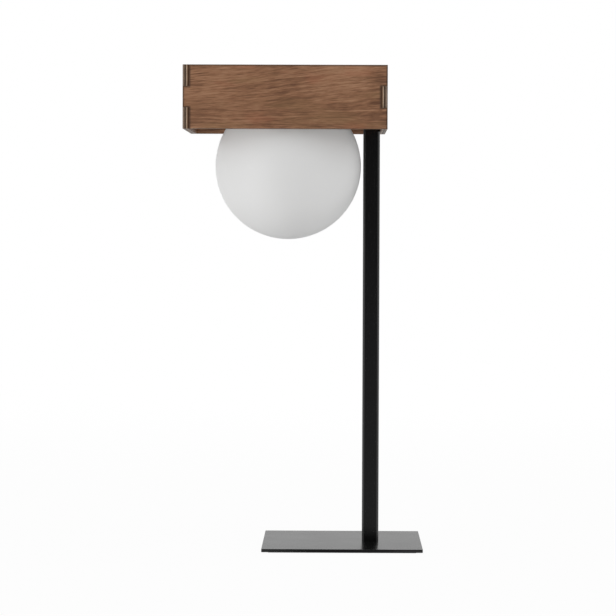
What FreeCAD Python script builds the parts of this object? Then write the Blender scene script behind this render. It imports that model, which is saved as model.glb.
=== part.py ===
"""Table lamp: a finger-jointed plywood box on a square steel post, with an opal glass globe that
rises into the box's open underside.

Millimetres, +Z up. The origin is the centre of the underside of the base felt. +X points to the
post and -Y to the front. Each piece of the lamp is a solid of its own in parts/NODE.step.
"""

import math
import os

import FreeCAD
import Part

Vector = FreeCAD.Vector
X_AXIS = Vector(1, 0, 0)
Y_AXIS = Vector(0, 1, 0)
Z_AXIS = Vector(0, 0, 1)

# ---- Driving dimensions -------------------------------------------------------------------

# Whole lamp
LAMP_HEIGHT = 458.3         # table to the top of the head
POST_X = 27.2               # centre of the post, to the right of the middle of the base

# Base: laser-cut steel plate on felt
BASE_SIDE = 152.0
BASE_THICK = 3.0
BASE_CORNER = 1.5           # radius of the plate's corners in plan
EDGE_BREAK = 0.3            # chamfer of the steel plates' edges
FELT_THICK = 1.0
FELT_INSET = 6.0            # felt edge, in from the plate's edge

# Post: square steel tube
TUBE_SIDE = 16.0
TUBE_WALL = 1.5
TUBE_CORNER = 2.5           # outer radius, as on a cold-formed tube of this wall
PLUG_HEIGHT = 12.0          # threaded block welded into the foot of the tube
PLUG_GAP = 0.1

# Foot fixings
FOOT_SCREW_RADIUS = 2.5     # M5 countersunk
FOOT_HEAD_RADIUS = 5.0
FOOT_HEAD_SINK = 0.2        # head below the plate's underside
FOOT_PIN_RADIUS = 1.5
FOOT_PIN_REACH = 1.5        # dowel into the plate
FOOT_PIN_WALL = 0.4         # steel between the dowel and the countersink
HOLE_GAP = 0.05             # radial clearance of a screw, pin or sleeve in its own hole
CLEAR_GAP = 0.25            # radial clearance of a screw in a plain hole

# Cord inlet in the rear of the post, and the bush where the wiring enters the head
INLET_HEIGHT = 20.0         # above the plate
INLET_BORE = 3.5            # radius, for a round cord up to 7 mm
BUSH_BORE = 2.8
BUSH_DROP = 10.0            # bush axis below the top of the post
GROMMET_WALL = 1.4
GROMMET_LIP = 1.3           # flange beyond the hole
GROMMET_FLANGE = 1.2        # thickness of a flange

# Head: plywood box, open below
HEAD_WIDTH = 192.0
HEAD_HEIGHT = 60.0
PLY = 6.0                   # plywood thickness
FINGER_COUNT = 3            # fingers and slots in the height of a corner
KERF = 0.1                  # gap at a laser-cut joint
BATTEN = 8.0                # square glue batten below the top panel
BATTEN_GAP = 1.0            # batten end to the side panel

# Opal glass globe
GLOBE_RADIUS = 70.0
GLASS_WALL = 3.0
GLOBE_POST_GAP = 2.2        # globe to post
GLOBE_DROP = 33.5           # globe centre below the underside of the head
HEAD_GLOBE_MARGIN = 2.0     # the head is deeper than the globe by this on each side
NECK_RADIUS = 20.0
NECK_FILLET = 2.0
NECK_RIM = 0.8              # rounding of the neck's rim

# Glass holder cup, spun steel
CUP_WALL = 0.8
CUP_GAP = 0.6               # radial clearance round the neck
CUP_CORNER = 0.6
CUP_RIM_GAP = 3.2           # rim above the globe's shoulder
GASKET_THICK = 1.2
GASKET_GAP = 0.3            # gasket to the glass and to the cup's wall

# Carrier: steel plate welded on the post, screwed up into the top panel
CARRIER_THICK = 2.5
CARRIER_WIDTH = 56.0
CARRIER_OVERHANG = 36.0     # beyond the globe's axis, to the left
CARRIER_CORNER = 5.0
CARRIER_GAP = 0.5           # right end to the side panel
CARRIER_SCREW_INSET = 8.0   # screw axes in from the carrier's edges

# Machine screws: M4 in the carrier and the cup, M3 in the terminal block
M4_RADIUS = 2.0
M4_HEAD_RADIUS = 3.4
M4_HEAD_HEIGHT = 2.4
M3_RADIUS = 1.5
M3_HEAD_RADIUS = 2.6
M3_HEAD_HEIGHT = 1.8
INSERT_WALL = 1.0           # brass thread insert in the top panel
INSERT_LENGTH = 4.6

# Lamp holder, G9: ceramic body on a steel bracket
CERAMIC_X = 20.0
CERAMIC_Y = 15.0
CERAMIC_HEIGHT = 22.0
CERAMIC_CORNER = 3.0
BRACKET_THICK = 1.0
BRACKET_WIDTH = 8.0
BRACKET_LEG = 11.0
CUP_SCREW_Y = 12.0          # screw axes from the globe's axis
RIVET_RADIUS = 1.4
RIVET_DEPTH = 2.0
RIVET_HEAD_RADIUS = 2.4
RIVET_HEAD_HEIGHT = 0.8
RIVET_DROP = 8.0            # rivet axis below the top of the ceramic

# Bulb, G9 capsule
BULB_TONGUE_X = 13.6
BULB_TONGUE_Y = 4.4
BULB_TONGUE_HEIGHT = 8.5
BULB_COLLAR_RADIUS = 8.6
BULB_COLLAR_HEIGHT = 6.0
BULB_RADIUS = 8.0
BULB_LENGTH = 44.0
BULB_WALL = 1.0
BULB_GAP = 0.5              # collar to the ceramic, and tongue in its recess
PIN_PITCH = 9.0
PIN_WIDTH = 3.4
PIN_WIRE = 0.7
PIN_LENGTH = 6.5
CORE_SIDE = 6.0             # lamp column inside the envelope
CORE_LENGTH = 34.0
SPRING_THICK = 0.3
SPRING_GAP = 0.15           # leaf to pin
CHAMBER_GAP = 0.5           # spring to the ceramic

# Terminal block and wiring
POLE_COUNT = 3
POLE_PITCH = 10.0
POLE_RADIUS = 3.2
BLOCK_LENGTH = 18.0
BLOCK_HEIGHT = 13.0
WEB_THICK = 3.0
SLEEVE_DROP = 6.5           # sleeve axis below the carrier
SLEEVE_RADIUS = 2.3
SLEEVE_BORE = 1.4
SLEEVE_INSET = 1.0
TERMINAL_SCREW_X = 4.5
TERMINAL_SCREW_RADIUS = 1.3
CHIMNEY_RADIUS = 2.3
BOSS_RADIUS = 2.3
LEAD_RADIUS = 0.8
LEAD_Y = 5.8                # live and neutral leads, either side of the holder
LEAD_X = 7.0
LEAD_SINK = 2.5             # lead into the ceramic
WIRE_SLOT_END = 27.0        # slot in the carrier, from the globe's axis
WIRE_SLOT_GAP = 0.7
EARTH_Y = -20.0
LUG_THICK = 0.8
LUG_BARREL = 6.0

# ---- Worked-out places --------------------------------------------------------------------

PLATE_BOTTOM = FELT_THICK
PLATE_TOP = PLATE_BOTTOM + BASE_THICK

HEAD_BOTTOM = LAMP_HEIGHT - HEAD_HEIGHT
HEAD_DEPTH = 2 * (GLOBE_RADIUS + HEAD_GLOBE_MARGIN)
HEAD_RIGHT = POST_X + TUBE_SIDE / 2 + PLY
HEAD_LEFT = HEAD_RIGHT - HEAD_WIDTH
TOP_PANEL_BOTTOM = LAMP_HEIGHT - PLY

CARRIER_BOTTOM = TOP_PANEL_BOTTOM - CARRIER_THICK
TUBE_INNER_CORNER = max(TUBE_CORNER - TUBE_WALL, 2 * EDGE_BREAK)
TUBE_FLAT = TUBE_SIDE / 2 - TUBE_WALL - TUBE_INNER_CORNER    # half the flat inside of a wall
INLET_Z = PLATE_TOP + INLET_HEIGHT
BUSH_Z = CARRIER_BOTTOM - BUSH_DROP

GLOBE_X = POST_X - TUBE_SIDE / 2 - GLOBE_POST_GAP - GLOBE_RADIUS
GLOBE_Z = HEAD_BOTTOM - GLOBE_DROP

CUP_INNER = NECK_RADIUS + CUP_GAP
CUP_OUTER = CUP_INNER + CUP_WALL
CUP_PLATE_BOTTOM = CARRIER_BOTTOM - CUP_WALL
GASKET_BOTTOM = CUP_PLATE_BOTTOM - GASKET_THICK
NECK_TOP = GASKET_BOTTOM - GASKET_GAP
SHOULDER_Z = GLOBE_Z + math.sqrt(
    (GLOBE_RADIUS + NECK_FILLET) ** 2 - (NECK_RADIUS + NECK_FILLET) ** 2
)
CUP_RIM = SHOULDER_Z + CUP_RIM_GAP

CERAMIC_TOP = CUP_PLATE_BOTTOM - BRACKET_THICK
CERAMIC_BOTTOM = CERAMIC_TOP - CERAMIC_HEIGHT
COLLAR_TOP = CERAMIC_BOTTOM - BULB_GAP
COLLAR_BOTTOM = COLLAR_TOP - BULB_COLLAR_HEIGHT
TONGUE_TOP = COLLAR_TOP + BULB_TONGUE_HEIGHT
PIN_TOP = TONGUE_TOP + PIN_LENGTH
SPRING_TOP = PIN_TOP + BULB_GAP + SPRING_THICK

CARRIER_LEFT = GLOBE_X - CARRIER_OVERHANG
CARRIER_RIGHT = HEAD_RIGHT - PLY - CARRIER_GAP
CARRIER_SCREW_Y = CARRIER_WIDTH / 2 - CARRIER_SCREW_INSET
CARRIER_SCREWS = [
    (x, side * CARRIER_SCREW_Y)
    for x in (CARRIER_LEFT + CARRIER_SCREW_INSET, POST_X)
    for side in (-1, 1)
]

BLOCK_X = (GLOBE_X + CUP_OUTER + POST_X - TUBE_SIDE / 2) / 2
SLEEVE_Z = CARRIER_BOTTOM - SLEEVE_DROP
POLES_Y = [(i - (POLE_COUNT - 1) / 2) * POLE_PITCH for i in range(POLE_COUNT)]
BOSSES_Y = [(POLES_Y[i] + POLES_Y[i + 1]) / 2 for i in range(POLE_COUNT - 1)]
EARTH_X = GLOBE_X + WIRE_SLOT_END + 1.0


# ---- Shape helpers ------------------------------------------------------------------------

def span(centre, size):
    """Low and high end of a length centred on a point."""
    return centre - size / 2, centre + size / 2


def block(x, y, z):
    """Box between the low and high ends given along X, Y and Z."""
    return Part.makeBox(x[1] - x[0], y[1] - y[0], z[1] - z[0], Vector(x[0], y[0], z[0]))


def cylinder(radius, length, start, axis=Z_AXIS):
    """Cylinder that runs from a start point along an axis."""
    return Part.makeCylinder(radius, length, Vector(*start), axis)


def edges_along(shape, axis):
    """Straight edges of a shape that run along an axis."""
    return [
        edge
        for edge in shape.Edges
        if isinstance(edge.Curve, Part.Line)
        and abs(edge.tangentAt(edge.FirstParameter).dot(axis)) > 0.999
    ]


def edges_at(shape, height):
    """Edges of a shape that lie wholly at one height."""
    return [
        edge
        for edge in shape.Edges
        if abs(edge.BoundBox.ZMin - height) < 1e-4 and abs(edge.BoundBox.ZMax - height) < 1e-4
    ]


def slot(x_ends, y, radius, z_ends):
    """Upright obround column whose end arcs are centred at two X places."""
    height = z_ends[1] - z_ends[0]
    middle = block(x_ends, span(y, 2 * radius), z_ends)
    ends = [cylinder(radius, height, (x, y, z_ends[0])) for x in x_ends]
    return middle.multiFuse(ends).removeSplitter()


def turned(outline, centre_x):
    """Solid of revolution about the upright axis at a centre X, from edges in the XZ plane."""
    face = Part.Face(Part.Wire(Part.__sortEdges__(outline)))
    solid = face.revolve(Vector(0, 0, 0), Z_AXIS, 360)
    return solid.translated(Vector(centre_x, 0, 0))


def line(start, end):
    """Straight edge between two (radius, height) points."""
    return Part.LineSegment(Vector(start[0], 0, start[1]), Vector(end[0], 0, end[1])).toShape()


def arc(start, middle, end):
    """Arc edge through three (radius, height) points."""
    points = [Vector(p[0], 0, p[1]) for p in (start, middle, end)]
    return Part.Arc(*points).toShape()


def on_circle(centre, radius, degrees):
    """Point of a circle in the (radius, height) plane, from the horizontal."""
    angle = math.radians(degrees)
    return centre[0] + radius * math.cos(angle), centre[1] + radius * math.sin(angle)


def pan_screw(seat, radius, length, head_radius, head_height):
    """Pan-head screw driven upwards: its head hangs below the seat point."""
    x, y, z = seat
    head = cylinder(head_radius, head_height, (x, y, z - head_height))
    head = head.makeFillet(0.45 * head_height, edges_at(head, z - head_height))
    return head.fuse(cylinder(radius, length, seat)).removeSplitter()


def grommet(bore, wall_face, wall, outwards, centre):
    """Flanged bush in a wall of the tube: wall_face is how far the outer face lies along outwards.

    The inner flange keeps to the flat inside of the wall.
    """
    hole = bore + GROMMET_WALL
    inner_lip = min(GROMMET_LIP / 2, TUBE_FLAT - hole)
    start = centre + outwards * (wall_face - wall - GROMMET_FLANGE)
    length = wall + 2 * GROMMET_FLANGE
    body = Part.makeCylinder(hole, length, start, outwards)
    inner = Part.makeCylinder(hole + inner_lip, GROMMET_FLANGE, start, outwards)
    outer_start = centre + outwards * wall_face
    outer = Part.makeCylinder(hole + GROMMET_LIP, GROMMET_FLANGE, outer_start, outwards)
    outer = outer.makeFillet(
        0.5 * GROMMET_FLANGE,
        [e for e in outer.Edges if (e.CenterOfMass - outer_start).dot(outwards) > 0.9 * GROMMET_FLANGE],
    )
    through = Part.makeCylinder(bore, length, start, outwards)
    return body.multiFuse([inner, outer]).cut(through).removeSplitter()


def lead(points, radius):
    """Round wire along straight runs joined by the widest tangent arcs that the runs allow."""
    points = [Vector(*p) for p in points]
    edges = []
    start = points[0]
    for before, corner, after in zip(points, points[1:], points[2:]):
        into = (corner - before).normalize()
        out = (after - corner).normalize()
        turn = into.getAngle(out)
        reach = 0.45 * min(before.distanceToPoint(corner), corner.distanceToPoint(after))
        bend = reach / math.tan(turn / 2)
        first = corner - into * reach
        last = corner + out * reach
        inwards = (out - into).normalize()
        middle = corner + inwards * (bend / math.cos(turn / 2) - bend)
        edges.append(Part.LineSegment(start, first).toShape())
        edges.append(Part.Arc(first, middle, last).toShape())
        start = last
    edges.append(Part.LineSegment(start, points[-1]).toShape())
    path = Part.Wire(edges)
    section = Part.Wire(Part.makeCircle(radius, points[0], points[1] - points[0]))
    return path.makePipeShell([section], True, False)


# ---- Base ---------------------------------------------------------------------------------

def base_plate():
    """Square plate, edges broken, with the countersunk hole and the dowel hole of the foot."""
    side = span(0, BASE_SIDE)
    plate = block(side, side, (PLATE_BOTTOM, PLATE_TOP))
    plate = plate.makeFillet(BASE_CORNER, edges_along(plate, Z_AXIS))
    rims = edges_at(plate, PLATE_TOP) + edges_at(plate, PLATE_BOTTOM)
    plate = plate.makeChamfer(EDGE_BREAK, rims)
    hole = foot_screw_shape(CLEAR_GAP, PLATE_BOTTOM)
    return plate.cut(hole).cut(foot_pin_shape(HOLE_GAP))


def base_felt():
    """Felt sheet glued below the plate."""
    side = span(0, BASE_SIDE - 2 * FELT_INSET)
    felt = block(side, side, (0, FELT_THICK))
    return felt.makeFillet(BASE_CORNER, edges_along(felt, Z_AXIS))


def foot_screw_shape(gap, head_bottom):
    """Countersunk screw up through the plate into the plug, or its hole with a gap all round."""
    rise = FOOT_HEAD_RADIUS - FOOT_SCREW_RADIUS
    top = PLATE_TOP + PLUG_HEIGHT - 1.0
    head_top = PLATE_BOTTOM + FOOT_HEAD_SINK
    axis = (POST_X, 0, head_bottom)
    shape = cylinder(FOOT_SCREW_RADIUS + gap, top - head_bottom, axis)
    cone = Part.makeCone(
        FOOT_HEAD_RADIUS + gap, FOOT_SCREW_RADIUS + gap, rise, Vector(POST_X, 0, head_top), Z_AXIS
    )
    shape = shape.fuse(cone)
    if head_bottom < head_top:
        shape = shape.fuse(cylinder(FOOT_HEAD_RADIUS + gap, head_top - head_bottom, axis))
    return shape.removeSplitter()


def foot_pin_shape(gap):
    """Dowel that stops the post from turning, or its hole with a gap all round."""
    sunk = BASE_THICK - FOOT_HEAD_SINK - FOOT_PIN_REACH
    away = FOOT_HEAD_RADIUS + CLEAR_GAP - sunk + FOOT_PIN_WALL + FOOT_PIN_RADIUS
    offset = away / math.sqrt(2)
    place = (POST_X - offset, offset, PLATE_TOP - FOOT_PIN_REACH)
    return cylinder(FOOT_PIN_RADIUS + gap, FOOT_PIN_REACH + PLUG_HEIGHT / 2, place)


def foot_plug():
    """Threaded steel block welded flush into the foot of the tube."""
    side = TUBE_SIDE - 2 * TUBE_WALL - 2 * PLUG_GAP
    plug = block(span(POST_X, side), span(0, side), (PLATE_TOP, PLATE_TOP + PLUG_HEIGHT))
    plug = plug.makeChamfer(TUBE_INNER_CORNER, edges_along(plug, Z_AXIS))
    thread = cylinder(FOOT_SCREW_RADIUS + HOLE_GAP, PLUG_HEIGHT, (POST_X, 0, PLATE_TOP))
    screw = foot_screw_shape(HOLE_GAP, PLATE_BOTTOM)
    return plug.cut(thread).cut(screw).cut(foot_pin_shape(HOLE_GAP))


# ---- Post ---------------------------------------------------------------------------------

def post():
    """Square tube with rounded corners, the cord hole behind and the wiring hole near the top."""
    ends = (PLATE_TOP, CARRIER_BOTTOM)
    tube = block(span(POST_X, TUBE_SIDE), span(0, TUBE_SIDE), ends)
    tube = tube.makeFillet(TUBE_CORNER, edges_along(tube, Z_AXIS))
    inner = TUBE_SIDE - 2 * TUBE_WALL
    hollow = block(span(POST_X, inner), span(0, inner), ends)
    hollow = hollow.makeFillet(TUBE_INNER_CORNER, edges_along(hollow, Z_AXIS))
    cord_hole = cylinder(INLET_BORE + GROMMET_WALL, TUBE_SIDE / 2, (POST_X, 0, INLET_Z), Y_AXIS)
    wire_hole = cylinder(BUSH_BORE + GROMMET_WALL, TUBE_SIDE / 2, (POST_X, 0, BUSH_Z), -X_AXIS)
    return tube.cut(hollow).cut(cord_hole).cut(wire_hole)


# ---- Head ---------------------------------------------------------------------------------

def finger_panel(length):
    """Wall panel with finger joints, running along X with its outer face at Y = 0.

    Its left end keeps the odd fingers and its right end the even ones, so four such panels,
    each turned a quarter from the last, close into a box.
    """
    panel = block((0, length), (0, PLY), (0, HEAD_HEIGHT))
    pitch = HEAD_HEIGHT / FINGER_COUNT
    reach = PLY + KERF
    for i in range(FINGER_COUNT):
        low = i * pitch - (KERF / 2 if i else 0)
        high = (i + 1) * pitch + (KERF / 2 if i < FINGER_COUNT - 1 else 0)
        cut_left = i % 2 == 0
        x = (0, reach) if cut_left else (length - reach, length)
        panel = panel.cut(block(x, (0, PLY), (low, high)))
    return panel


def wall_panels():
    """The four walls of the box by name, each on its own side."""
    half = HEAD_DEPTH / 2
    walls = {
        "front_panel": (HEAD_WIDTH, HEAD_LEFT, -half, 0),
        "right_panel": (HEAD_DEPTH, HEAD_RIGHT, -half, 90),
        "rear_panel": (HEAD_WIDTH, HEAD_RIGHT, half, 180),
        "left_panel": (HEAD_DEPTH, HEAD_LEFT, half, 270),
    }
    panels = {}
    for name, (length, x, y, turn) in walls.items():
        panel = finger_panel(length)
        panel.rotate(Vector(0, 0, 0), Z_AXIS, turn)
        panels[name] = panel.translated(Vector(x, y, HEAD_BOTTOM))
    return panels


def top_panel():
    """Panel let in between the walls, flush with their top, with blind holes for the inserts."""
    inset = PLY + KERF
    panel = block(
        (HEAD_LEFT + inset, HEAD_RIGHT - inset),
        span(0, HEAD_DEPTH - 2 * inset),
        (TOP_PANEL_BOTTOM, LAMP_HEIGHT),
    )
    radius = M4_RADIUS + INSERT_WALL + HOLE_GAP
    holes = [
        cylinder(radius, INSERT_LENGTH + HOLE_GAP, (x, y, TOP_PANEL_BOTTOM)) for x, y in CARRIER_SCREWS
    ]
    return panel.cut(Part.makeCompound(holes))


def glue_battens():
    """Two battens glued in the corners between the top panel and the front and rear walls."""
    x = (HEAD_LEFT + PLY + BATTEN_GAP, HEAD_RIGHT - PLY - BATTEN_GAP)
    inner = HEAD_DEPTH / 2 - PLY
    z = (TOP_PANEL_BOTTOM - BATTEN, TOP_PANEL_BOTTOM)
    battens = []
    for side in (-1, 1):
        ends = sorted((side * (inner - BATTEN), side * inner))
        batten = block(x, ends, z)
        free = [
            e
            for e in edges_along(batten, X_AXIS)
            if abs(e.CenterOfMass.y) < inner - 0.5 * BATTEN and e.CenterOfMass.z < z[1] - 0.5 * BATTEN
        ]
        battens.append(batten.makeChamfer(0.25 * BATTEN, free))
    return Part.makeCompound(battens)


def panel_inserts():
    """Brass thread inserts in the underside of the top panel."""
    outer = M4_RADIUS + INSERT_WALL
    inserts = []
    for x, y in CARRIER_SCREWS:
        start = (x, y, TOP_PANEL_BOTTOM)
        body = cylinder(outer, INSERT_LENGTH, start)
        inserts.append(body.cut(cylinder(M4_RADIUS + HOLE_GAP, INSERT_LENGTH, start)))
    return Part.makeCompound(inserts)


# ---- Carrier ------------------------------------------------------------------------------

def carrier_plate():
    """Steel plate on top of the post that holds the head, the cup, the wiring and the earth."""
    z = (CARRIER_BOTTOM, TOP_PANEL_BOTTOM)
    plate = block((CARRIER_LEFT, CARRIER_RIGHT), span(0, CARRIER_WIDTH), z)
    plate = plate.makeFillet(CARRIER_CORNER, edges_along(plate, Z_AXIS))

    def hole(x, y, radius):
        return cylinder(radius, CARRIER_THICK, (x, y, z[0]))

    cuts = [hole(x, y, M4_RADIUS + CLEAR_GAP) for x, y in CARRIER_SCREWS]
    cuts += [hole(GLOBE_X, side * CUP_SCREW_Y, M4_RADIUS + HOLE_GAP) for side in (-1, 1)]
    cuts.append(hole(EARTH_X, EARTH_Y, M4_RADIUS + HOLE_GAP))
    cuts += [hole(BLOCK_X, y, M3_RADIUS + HOLE_GAP) for y in BOSSES_Y]
    width = LEAD_RADIUS + WIRE_SLOT_GAP
    ends = (GLOBE_X + LEAD_X, GLOBE_X + WIRE_SLOT_END - width)
    cuts += [slot(ends, side * LEAD_Y, width, z) for side in (-1, 1)]
    return plate.cut(Part.makeCompound(cuts))


def carrier_screws():
    """Screws that draw the top panel down on the carrier."""
    length = CARRIER_THICK + INSERT_LENGTH - 0.5
    return Part.makeCompound(
        [
            pan_screw((x, y, CARRIER_BOTTOM), M4_RADIUS, length, M4_HEAD_RADIUS, M4_HEAD_HEIGHT)
            for x, y in CARRIER_SCREWS
        ]
    )


# ---- Glass holder cup ---------------------------------------------------------------------

def glass_holder_cup():
    """Spun cup that the globe's neck screws into, with slots for the two leads."""
    height = CARRIER_BOTTOM - CUP_RIM
    cup = cylinder(CUP_OUTER, height, (GLOBE_X, 0, CUP_RIM))
    cup = cup.makeFillet(CUP_CORNER, edges_at(cup, CARRIER_BOTTOM))
    cup = cup.cut(cylinder(CUP_INNER, height - CUP_WALL, (GLOBE_X, 0, CUP_RIM)))
    plate = (CUP_PLATE_BOTTOM, CARRIER_BOTTOM)
    cuts = [
        cylinder(M4_RADIUS + CLEAR_GAP, CUP_WALL, (GLOBE_X, side * CUP_SCREW_Y, plate[0]))
        for side in (-1, 1)
    ]
    width = LEAD_RADIUS + WIRE_SLOT_GAP
    x = (GLOBE_X + LEAD_X, GLOBE_X + LEAD_X + width)
    cuts += [slot(x, side * LEAD_Y, width, plate) for side in (-1, 1)]
    return cup.cut(Part.makeCompound(cuts))


def cup_screws():
    """Two screws that hold the bracket and the cup to the carrier."""
    seat = CUP_PLATE_BOTTOM - BRACKET_THICK
    length = TOP_PANEL_BOTTOM - seat - HOLE_GAP
    return Part.makeCompound(
        [
            pan_screw(
                (GLOBE_X, side * CUP_SCREW_Y, seat), M4_RADIUS, length, M4_HEAD_RADIUS, M4_HEAD_HEIGHT
            )
            for side in (-1, 1)
        ]
    )


def neck_gasket():
    """Silicone ring on the cup's floor, above the rim of the neck."""
    outer = CUP_INNER - GASKET_GAP
    inner = NECK_RADIUS - GLASS_WALL
    start = (GLOBE_X, 0, GASKET_BOTTOM)
    return cylinder(outer, GASKET_THICK, start).cut(cylinder(inner, GASKET_THICK, start))


# ---- Opal globe ---------------------------------------------------------------------------

def opal_globe():
    """Blown globe of even wall thickness, bent outwards at the top into the foot of its neck."""
    blend = (NECK_RADIUS + NECK_FILLET, SHOULDER_Z - GLOBE_Z)
    lean = math.degrees(math.atan2(blend[1], blend[0]))

    def side(radius, neck, bend):
        """Globe arc from the bottom up, then the bend into the neck, for one of the two skins."""
        south = (0, -radius)
        shoulder = on_circle((0, 0), radius, lean)
        belly = on_circle((0, 0), radius, (lean - 90) / 2)
        throat = (neck, blend[1])
        middle = on_circle(blend, bend, (180 + lean + 180) / 2)
        return south, throat, [arc(south, belly, shoulder), arc(shoulder, middle, throat)]

    south, throat, outer_edges = side(GLOBE_RADIUS, NECK_RADIUS, NECK_FILLET)
    inner_south, inner_throat, inner_edges = side(
        GLOBE_RADIUS - GLASS_WALL, NECK_RADIUS - GLASS_WALL, NECK_FILLET + GLASS_WALL
    )
    outline = outer_edges + inner_edges + [line(throat, inner_throat), line(inner_south, south)]
    return turned(outline, GLOBE_X).translated(Vector(0, 0, GLOBE_Z))


def globe_neck():
    """Open neck, one glass with the globe below it, with a rounded rim."""
    height = NECK_TOP - SHOULDER_Z
    start = (GLOBE_X, 0, SHOULDER_Z)
    bore = cylinder(NECK_RADIUS - GLASS_WALL, height, start)
    neck = cylinder(NECK_RADIUS, height, start).cut(bore)
    return neck.makeFillet(NECK_RIM, edges_at(neck, NECK_TOP))


# ---- Lamp holder --------------------------------------------------------------------------

def lamp_holder():
    """Ceramic body with a recess for the bulb's tongue and a chamber for each contact."""
    body = block(
        span(GLOBE_X, CERAMIC_X), span(0, CERAMIC_Y), (CERAMIC_BOTTOM, CERAMIC_TOP)
    )
    body = body.makeFillet(CERAMIC_CORNER, edges_along(body, Z_AXIS))
    body = body.makeChamfer(2 * EDGE_BREAK, edges_at(body, CERAMIC_BOTTOM))
    recess_top = TONGUE_TOP + BULB_GAP
    cuts = [
        block(
            span(GLOBE_X, BULB_TONGUE_X + 2 * BULB_GAP),
            span(0, BULB_TONGUE_Y + 2 * BULB_GAP),
            (CERAMIC_BOTTOM, recess_top),
        )
    ]
    for side in (-1, 1):
        cuts.append(
            block(
                span(GLOBE_X + side * PIN_PITCH / 2, PIN_WIDTH + 2 * CHAMBER_GAP),
                span(0, spring_depth() + 2 * CHAMBER_GAP),
                (recess_top, SPRING_TOP),
            )
        )
        lead_hole = (GLOBE_X + LEAD_X, side * LEAD_Y, CERAMIC_TOP - LEAD_SINK)
        cuts.append(cylinder(LEAD_RADIUS + HOLE_GAP, LEAD_SINK, lead_hole))
        face = GLOBE_X + side * (CERAMIC_X / 2 - RIVET_DEPTH)
        rivet_hole = (face, 0, CERAMIC_TOP - RIVET_DROP)
        cuts.append(cylinder(RIVET_RADIUS + HOLE_GAP, RIVET_DEPTH, rivet_hole, X_AXIS * side))
    return body.cut(Part.makeCompound(cuts))


def spring_depth():
    """Size of a contact spring across its pin."""
    return PIN_WIRE + 2 * (SPRING_GAP + SPRING_THICK)


def contact_springs():
    """U-shaped spring leaves either side of each pin, closed at the top."""
    springs = []
    for side in (-1, 1):
        x = span(GLOBE_X + side * PIN_PITCH / 2, PIN_WIDTH)
        low = TONGUE_TOP + 2 * BULB_GAP
        outside = block(x, span(0, spring_depth()), (low, SPRING_TOP))
        inside = block(x, span(0, PIN_WIRE + 2 * SPRING_GAP), (low, SPRING_TOP - SPRING_THICK))
        springs.append(outside.cut(inside))
    return Part.makeCompound(springs)


def holder_bracket():
    """Cross-shaped strap below the cup's floor: two ears are screwed, two legs hold the ceramic."""
    z = (CERAMIC_TOP, CUP_PLATE_BOTTOM)
    outer = CERAMIC_X / 2 + BRACKET_THICK
    ear = block(
        span(GLOBE_X, BRACKET_WIDTH), span(0, 2 * (CUP_SCREW_Y + M4_HEAD_RADIUS)), z
    )
    ear = ear.makeFillet(2.0, edges_along(ear, Z_AXIS))
    width = span(0, BRACKET_WIDTH)
    channel = block(span(GLOBE_X, 2 * outer), width, (z[1] - BRACKET_LEG, z[1]))
    bends = [e for e in edges_along(channel, Y_AXIS) if e.CenterOfMass.z > z[0]]
    channel = channel.makeFillet(0.8 * BRACKET_THICK, bends)
    channel = channel.cut(block(span(GLOBE_X, CERAMIC_X), width, (z[1] - BRACKET_LEG, z[0])))
    bracket = ear.fuse(channel)
    cuts = [
        cylinder(M4_RADIUS + CLEAR_GAP, BRACKET_THICK, (GLOBE_X, side * CUP_SCREW_Y, z[0]))
        for side in (-1, 1)
    ]
    rivet_line = (GLOBE_X - outer, 0, CERAMIC_TOP - RIVET_DROP)
    cuts.append(cylinder(RIVET_RADIUS + HOLE_GAP, 2 * outer, rivet_line, X_AXIS))
    return bracket.cut(Part.makeCompound(cuts)).removeSplitter()


def holder_rivets():
    """Rivets through the bracket's legs into the ceramic."""
    rivets = []
    for side in (-1, 1):
        outwards = X_AXIS * side
        start = (GLOBE_X + side * (CERAMIC_X / 2 - RIVET_DEPTH), 0, CERAMIC_TOP - RIVET_DROP)
        shank = cylinder(RIVET_RADIUS, RIVET_DEPTH + BRACKET_THICK, start, outwards)
        seat = (GLOBE_X + side * (CERAMIC_X / 2 + BRACKET_THICK), 0, start[2])
        head = Part.makeCone(
            RIVET_HEAD_RADIUS, 0.6 * RIVET_HEAD_RADIUS, RIVET_HEAD_HEIGHT, Vector(*seat), outwards
        )
        rivets.append(shank.fuse(head).removeSplitter())
    return Part.makeCompound(rivets)


# ---- Bulb ---------------------------------------------------------------------------------

def bulb_base():
    """Round collar with the flat tongue that enters the holder."""
    collar = cylinder(BULB_COLLAR_RADIUS, BULB_COLLAR_HEIGHT, (GLOBE_X, 0, COLLAR_BOTTOM))
    collar = collar.makeFillet(1.0, edges_at(collar, COLLAR_TOP))
    tongue = block(
        span(GLOBE_X, BULB_TONGUE_X), span(0, BULB_TONGUE_Y), (COLLAR_BOTTOM, TONGUE_TOP)
    )
    tongue = tongue.makeFillet(0.8, edges_along(tongue, Z_AXIS))
    return collar.fuse(tongue).removeSplitter()


def bulb_pins():
    """Wire loops that stand out of the tongue."""
    pins = []
    for side in (-1, 1):
        x = GLOBE_X + side * PIN_PITCH / 2
        outer = loop_column(x, PIN_WIDTH / 2, PIN_WIRE, TONGUE_TOP, PIN_TOP)
        inner = loop_column(x, PIN_WIDTH / 2 - PIN_WIRE, PIN_WIRE, TONGUE_TOP, PIN_TOP - PIN_WIRE)
        pins.append(outer.cut(inner))
    return Part.makeCompound(pins)


def loop_column(x, radius, depth, low, high):
    """Flat bar standing up, with a half-round top."""
    bar = block(span(x, 2 * radius), span(0, depth), (low, high - radius))
    cap = cylinder(radius, depth, (x, -depth / 2, high - radius), Y_AXIS)
    return bar.fuse(cap).removeSplitter()


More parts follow.
